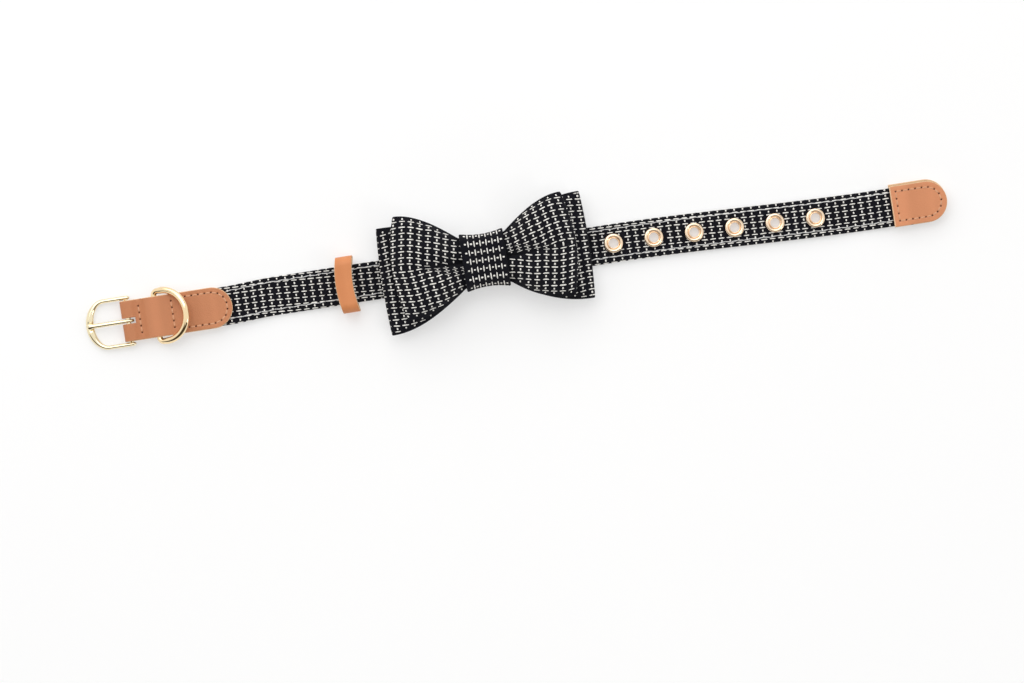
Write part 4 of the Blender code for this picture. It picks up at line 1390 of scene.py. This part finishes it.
def layer_half_span(layer, x):
    opening = 1.0 - (1.0 - wing_share(layer, x)) ** WING_EDGE_POWER
    waist = waist_half_span(x)
    return waist + (layer.half_height - waist) * opening


def layer_middle(layer, x):
    side = np.where(x > 0, layer.right_offset, layer.left_offset)
    return KNOT_SIDEWAYS + (side - KNOT_SIDEWAYS) * smooth_step(wing_share(layer, x))


def ridges(across_share):
    """Two ridges with a sharp valley between, level at both edges."""
    far = np.minimum(1.0, np.abs(across_share))
    rise = 1.0 - (1.0 - np.minimum(1.0, far / RIDGE_PLACE)) ** 2
    fall = 1.0 - smooth_step((far - RIDGE_PLACE) / (1.0 - RIDGE_PLACE))
    return rise * fall


def nest_step():
    slope = math.pi * PINCH_RIDGE / float(waist_half_span(0.0))
    return (BOW_WALL + GAP) * math.sqrt(1.0 + slope ** 2)


def sheet_heights(layer, share, across_share, base, pinch, ridge):
    closing = np.sqrt(np.maximum(0.0, 1.0 - share ** WING_FOLD_POWER))
    back = base + layer.puff * (1.0 - closing)
    swell = pinch - layer.puff + (2 * layer.puff - pinch) * smooth_step(share / WING_RISE_SHARE)
    front = base + layer.puff + swell * closing + ridge * ridges(across_share) * closing
    return back, front


def across_share(layer, x, y):
    return (y - layer_middle(layer, x)) / layer_half_span(layer, x)


def lower_heights(x, y):
    share = wing_share(LOWER, x)
    ridge = PINCH_RIDGE * (1.0 - share) ** RIDGE_FADE_POWER
    return sheet_heights(LOWER, share, across_share(LOWER, x, y), BOW_SEAT, BOW_WALL + PINCH_GAP, ridge)


def upper_heights(x, y):
    share = wing_share(UPPER, x)
    base = lower_heights(x, y)[1] + nest_step()
    ridge = UPPER_CROWN * np.sin(math.pi * share)
    return sheet_heights(UPPER, share, across_share(UPPER, x, y), base, nest_step(), ridge)


def loop_stations(layer):
    """Round the loop from the middle of its back: place along the collar, and front or back."""
    reach = layer.half_length - BOW_WALL / 2
    out = reach * (1.0 - (1.0 - np.linspace(0, 1, LOOP_STATIONS)) ** WING_STEP_POWER)
    x = np.concatenate([-out, -out[::-1][1:], out[1:], out[::-1][1:]])
    rest = LOOP_STATIONS - 1
    front = np.concatenate([np.zeros(LOOP_STATIONS), np.ones(2 * rest), np.zeros(rest)])
    return x, front


def loop_points(layer, heights, x, front, spread):
    x_grid = np.repeat(x[:, None], len(spread), axis=1)
    side = np.where(x_grid == 0, 1e-9, x_grid)
    y = layer_middle(layer, side) + layer_half_span(layer, x_grid) * spread[None, :]
    back, top = heights(x_grid, y)
    clear = np.maximum(0.0, top - back - BOW_WALL - GAP)
    near_edge = smooth_step((np.abs(spread) - CURL_START) / (1 - CURL_START))
    curl = CURL_SHARE * clear * near_edge[None, :] ** CURL_POWER
    z = np.where(front[:, None] > 0.5, top - curl, back)
    pulled = layer.bulge * spread[None, :] ** 2 * wing_share(layer, x_grid) ** 2
    return np.stack([x_grid - np.copysign(pulled, x_grid), y, z], axis=-1)


def rows_of_cloth(layer, points, spread, reach_x, is_front):
    """How far across its strip of cloth each point lies.

    Seen from the front the rows of a wing's two halves run straight and close towards the knot at
    the layer's fan slope. What the outline loses faster than that is turned in at the edge. A
    band on one side of the valley is drawn in, and the rest is lost in the valley.
    """
    steps = np.linalg.norm(np.diff(points, axis=1), axis=-1)
    seen = np.abs(np.diff(points[..., 1], axis=1))
    curled = np.abs(spread[1:] + spread[:-1]) / 2 > CURL_START
    laid = np.where(curled[None, :], steps, seen)
    centre = points.shape[1] // 2
    none = np.zeros((len(points), 1))
    from_low = np.concatenate([none, np.cumsum(laid[:, :centre], axis=1)], axis=1)
    from_high = np.concatenate([np.cumsum(laid[:, centre:][:, ::-1], axis=1)[:, ::-1], none], axis=1)
    inward = layer.half_length - np.abs(reach_x)
    fallen = layer.half_height - layer_half_span(layer, reach_x)
    drawn_in = (np.maximum(0.0, fallen - layer.fan * inward) * is_front)[:, None]
    low, high = from_low + drawn_in, from_high + drawn_in
    lost = np.maximum(0.0, 2 * layer.half_height - low[:, -1:] - high[:, :1])
    band = np.minimum(VALLEY_BAND, VALLEY_SHARE * lost) * is_front[:, None]
    low = low + np.maximum(0.0, band - from_low[:, -1:] + from_low) * (reach_x < 0)[:, None]
    high = high + np.maximum(0.0, band - from_high[:, :1] + from_high) * (reach_x > 0)[:, None]
    v = np.concatenate([-layer.half_height + low, layer.half_height - high[:, 1:]], axis=1) + ROW_SHIFT
    v[:, centre] = (v[:, centre - 1] + v[:, centre + 1]) / 2
    rate = np.abs(np.diff(v, axis=1)) / steps
    before = np.pad(rate, ((0, 0), (1, 0)), mode="edge")
    after = np.pad(rate, ((0, 0), (0, 1)), mode="edge")
    return v, np.maximum(before, after)


def columns_of_cloth(layer, points, reach_x, along):
    """How far along its strip of cloth each point lies: the columns stand square to the rows."""
    share = wing_share(layer, reach_x)
    high = np.abs(points[..., 1] - layer_middle(layer, np.where(reach_x == 0, 1e-9, reach_x))[:, None])
    lean = layer.fan * high * smooth_step(np.abs(reach_x) / WAIST_HALF)[:, None]
    pulled = layer.bulge * (high / layer.half_height) ** 2 * share[:, None] ** 2
    return along[:, None] + np.sign(reach_x)[:, None] * (lean - pulled)


def cloth_and_threads(name, points, normals, u, v, crowding, u_loop):
    """A closed loop of cloth with its raised off-white threads."""
    relief = pillow(u, v) - PILLOW / 2
    sections = walled(points, normals, CLOTH_WALL, relief, CLOTH_WALL / 2, wrap_rows=True)
    cloth = face_outwards(grid_mesh(name + "_cloth", sections, [BLACK],
                                    uv=section_weave(u, v, CLOTH_WALL / 2, u_loop),
                                    wrap_rows=True, wrap_columns=True))
    outer = points + normals * (CLOTH_WALL / 2 + relief)[..., None]
    threads = woven_threads(name + "_threads", outer, normals, np.stack([u, v], axis=-1), crowding)
    return cloth, threads


def bow_layer(layer, heights):
    """A flattened loop of cloth, from the middle of its back round both sides."""
    x, front = loop_stations(layer)
    middle_line = loop_points(layer, heights, x, front, np.array([0.4, 0.5]))[:, 1]
    travelled = lengths_along(middle_line)
    near_knot = (front[1:] > 0.5) & (wing_share(layer, x[1:]) < PLAIN_SHARE)
    laid = np.where(near_knot, np.abs(np.diff(x)), np.diff(travelled))
    along = np.concatenate([[0.0], np.cumsum(laid)]) / BOW_STRETCH
    count = round(travelled[-1] / CLOTH_STEP)
    marks = np.linspace(0, travelled[-1], count + 1)[:-1]
    reach_x = np.interp(marks, travelled, x)
    is_front = (np.interp(marks, travelled, front) > 0.5).astype(float)
    columns = 2 * round(layer.half_height / CLOTH_STEP) + 1
    spread = np.linspace(-1, 1, columns)
    points = loop_points(layer, heights, reach_x, is_front, spread)
    normals = grid_normals(points, wrap_rows=True)
    v, crowding = rows_of_cloth(layer, points, spread, reach_x, is_front)
    # Painted shade: near the knot the pale floats are left out of a band along the valley, so the black cloth
    # stands for the shade there; the fold also hides part of them.
    crease_shade = CREASE_SHADE * smooth_step(1 - wing_share(layer, reach_x) / CREASE_SHADE_SHARE) * is_front
    from_valley = np.abs(spread)[None, :] * layer_half_span(layer, reach_x)[:, None]
    crowding = np.where(from_valley < crease_shade[:, None], 2 * MOST_CROWDING, crowding)
    u_row = np.interp(marks, travelled, along) - along[-1] / 2 + layer.column_shift
    u = columns_of_cloth(layer, points, reach_x, u_row)
    return cloth_and_threads(layer.name, points, normals, u, v, crowding, along[-1])


def bow_knot():
    """The band that gathers both layers and holds them to the strap."""
    crest_y = KNOT_SIDEWAYS + float(waist_half_span(0.0)) * RIDGE_PLACE
    crest = float(upper_heights(np.array(1e-9), np.array(crest_y))[1])
    top = crest + BOW_WALL / 2 + GAP + KNOT_WALL / 2
    spread = np.linspace(-1, 1, KNOT_COLUMNS)
    half = KNOT_HALF - CLOTH_WALL / 2
    points = np.zeros((KNOT_STEPS, KNOT_COLUMNS, 3))
    for column, share in enumerate(spread):
        points[:, column, 0] = half * share
        points[:, column, 1:] = rounded_loop(
            (knot_span(share) - KNOT_WALL) / 2, KNOT_WALL / 2, top, KNOT_BOTTOM_CORNER,
            KNOT_TOP_CORNER, KNOT_SIDEWAYS, KNOT_TURN_STEPS, KNOT_STEPS)
    normals = grid_normals(points, wrap_rows=True)
    loop = points[:, KNOT_COLUMNS // 2]
    travelled = lengths_along(np.concatenate([loop, loop[:1]]))
    u = np.repeat((travelled[:-1] - travelled[-1] / 2)[:, None], KNOT_COLUMNS, axis=1)
    v = np.repeat(spread[None, :] * half + KNOT_ROW_SHIFT, KNOT_STEPS, axis=0)
    return cloth_and_threads("bow_knot", points, normals, u, v, np.ones(u.shape), travelled[-1])


# Stage

PIXEL = 0.0004
PICTURE_WIDTH = 1024
PICTURE_HEIGHT = 683
BOW_PIXEL = (485.4, 263.3)
COLLAR_TURN = 8.85
LENS = 170.0
SENSOR = 36.0
FLOOR_REACH = 3.0


def camera():
    """Straight above the collar, which lies turned in the picture."""
    turn = math.radians(-COLLAR_TURN)
    right = Vector((math.cos(turn), math.sin(turn), 0.0))
    up = Vector((-math.sin(turn), math.cos(turn), 0.0))
    across = (BOW_PIXEL[0] - PICTURE_WIDTH / 2) * PIXEL
    above = (PICTURE_HEIGHT / 2 - BOW_PIXEL[1]) * PIXEL
    height = PICTURE_WIDTH * PIXEL * LENS / SENSOR
    data = bpy.data.cameras.new("camera")
    data.lens = LENS
    data.sensor_width = SENSOR
    data.clip_start = 0.01
    item = new_object("camera", data)
    item.location = BOW_PLACE - right * across - up * above + Vector((0, 0, height))
    item.rotation_euler = (0.0, 0.0, turn)
    bpy.context.scene.camera = item


def area_light(name, place, size, power):
    """A soft light that points at the middle of the floor."""
    data = bpy.data.lights.new(name, "AREA")
    data.shape = "RECTANGLE"
    data.size, data.size_y = size
    data.energy = power
    item = new_object(name, data)
    item.location = place
    item.rotation_euler = (-Vector(place)).to_track_quat("-Z", "Y").to_euler()


def floor_finish(nodes):
    tone = noise(nodes, nodes.own_place(), 3.0)
    return {"Base Color": mixed(nodes, tone, (0.50, 0.50, 0.50), (0.53, 0.53, 0.53))}


def floor():
    """A white table that glows a little, as a lit one does in a bright photograph."""
    mesh = bpy.data.meshes.new("floor")
    corners = ((-1, -1), (1, -1), (1, 1), (-1, 1))
    mesh.from_pydata([(x * FLOOR_REACH, y * FLOOR_REACH, 0) for x, y in corners], [], [(0, 1, 2, 3)])
    mesh.materials.append(finished("lit_white_table", floor_finish, {
        "Roughness": 0.75, "Specular IOR Level": 0.2, "Emission Color": (1.0, 1.0, 1.0, 1.0),
        "Emission Strength": 0.45}))
    new_object("floor", mesh)


def surroundings():
    """A pale studio with a dark card on the near side, which gives the metal its dark lines."""
    world = bpy.data.worlds.new("studio")
    bpy.context.scene.world = world
    world.use_nodes = True
    nodes = Nodes(world.node_tree)
    x, y, z = nodes.split(nodes.add("ShaderNodeTexCoord").outputs["Generated"])
    card = z.ramp(0.30, 0.42) * z.ramp(0.86, 0.94, 1.0, 0.0) * (y + 0.25 * x).ramp(-0.42, -0.22, 1.0, 0.0)
    strip = z.ramp(0.52, 0.60) * z.ramp(0.72, 0.80, 1.0, 0.0) * y.ramp(0.25, 0.45) * 0.75
    color = mixed(nodes, card.largest(strip), (1.0, 1.0, 1.0), (0.07, 0.055, 0.035))
    made = nodes.add("ShaderNodeBackground", {}, {"Color": color, "Strength": 0.97})
    nodes.add("ShaderNodeOutputWorld", {}, {"Surface": made.outputs[0]})


# Assembly

def settle(node, body, items):
    """The pieces ride on the node's body and stand for the node."""
    for item in items:
        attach(item, body)
    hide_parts(node)


def settle_sheet(node, pieces, flat):
    """A cloth of the bow with its threads; the size of the cloth laid flat is not used."""
    settle(node, "collar", pieces)


strap_cloth, strap_threads = strap()
strap_lines = top_stitching("strap_top_stitching", BUCKLE_LEATHER_END - LINE_START_TUCK,
                            TIP_LEATHER_START + LINE_END_TUCK)
settle("strap", "collar", [strap_cloth, strap_threads, strap_lines])
for number, ring in enumerate(eyelets(), start=1):
    settle(f"eyelet_{number}", "collar", [ring])
folded, buckle_rows = buckle_leather()
buckle_thread = leather_stitches("buckle_leather_thread", [(row, buckle_face) for row in buckle_rows])
settle("buckle_leather", "collar", [folded, buckle_thread])
tip_back = tip_leather("tip_back_leather", LEATHER / 2, TIP_BACK_SHIFT)
settle("tip_leather_back", "collar", [tip_back])
tip_pricks = tip_stitch_holes()
tip_thread = leather_stitches("tip_leather_thread", [(tip_pricks + tip_pricks[:1], tip_face)])
tip_front = tip_leather("tip_front_leather", TOP_LEATHER_MIDDLE, 0.0, tip_pricks)
settle("tip_leather_front", "collar", [tip_front, tip_thread])
settle("keeper_loop", "collar", [keeper_loop()])
settle("buckle_frame", "buckle", [buckle_frame()])
settle("prong", "tongue", [prong()])
settle("d_ring", "leash_ring", [d_ring()])
for layer, heights in ((LOWER, lower_heights), (UPPER, upper_heights)):
    settle_sheet(layer.name, bow_layer(layer, heights), (2 * layer.half_height, 4 * layer.half_length))
settle_sheet("bow_knot", bow_knot(), (KNOT_WIDTH, KNOT_STRIP_LENGTH))

floor()
surroundings()
area_light("window", (-0.25, 0.9, 1.1), (1.8, 1.4), 12.5)
area_light("lamp", (0.75, -0.65, 0.95), (0.26, 0.26), 1.1)
camera()
bpy.context.scene.view_settings.view_transform = "Standard"
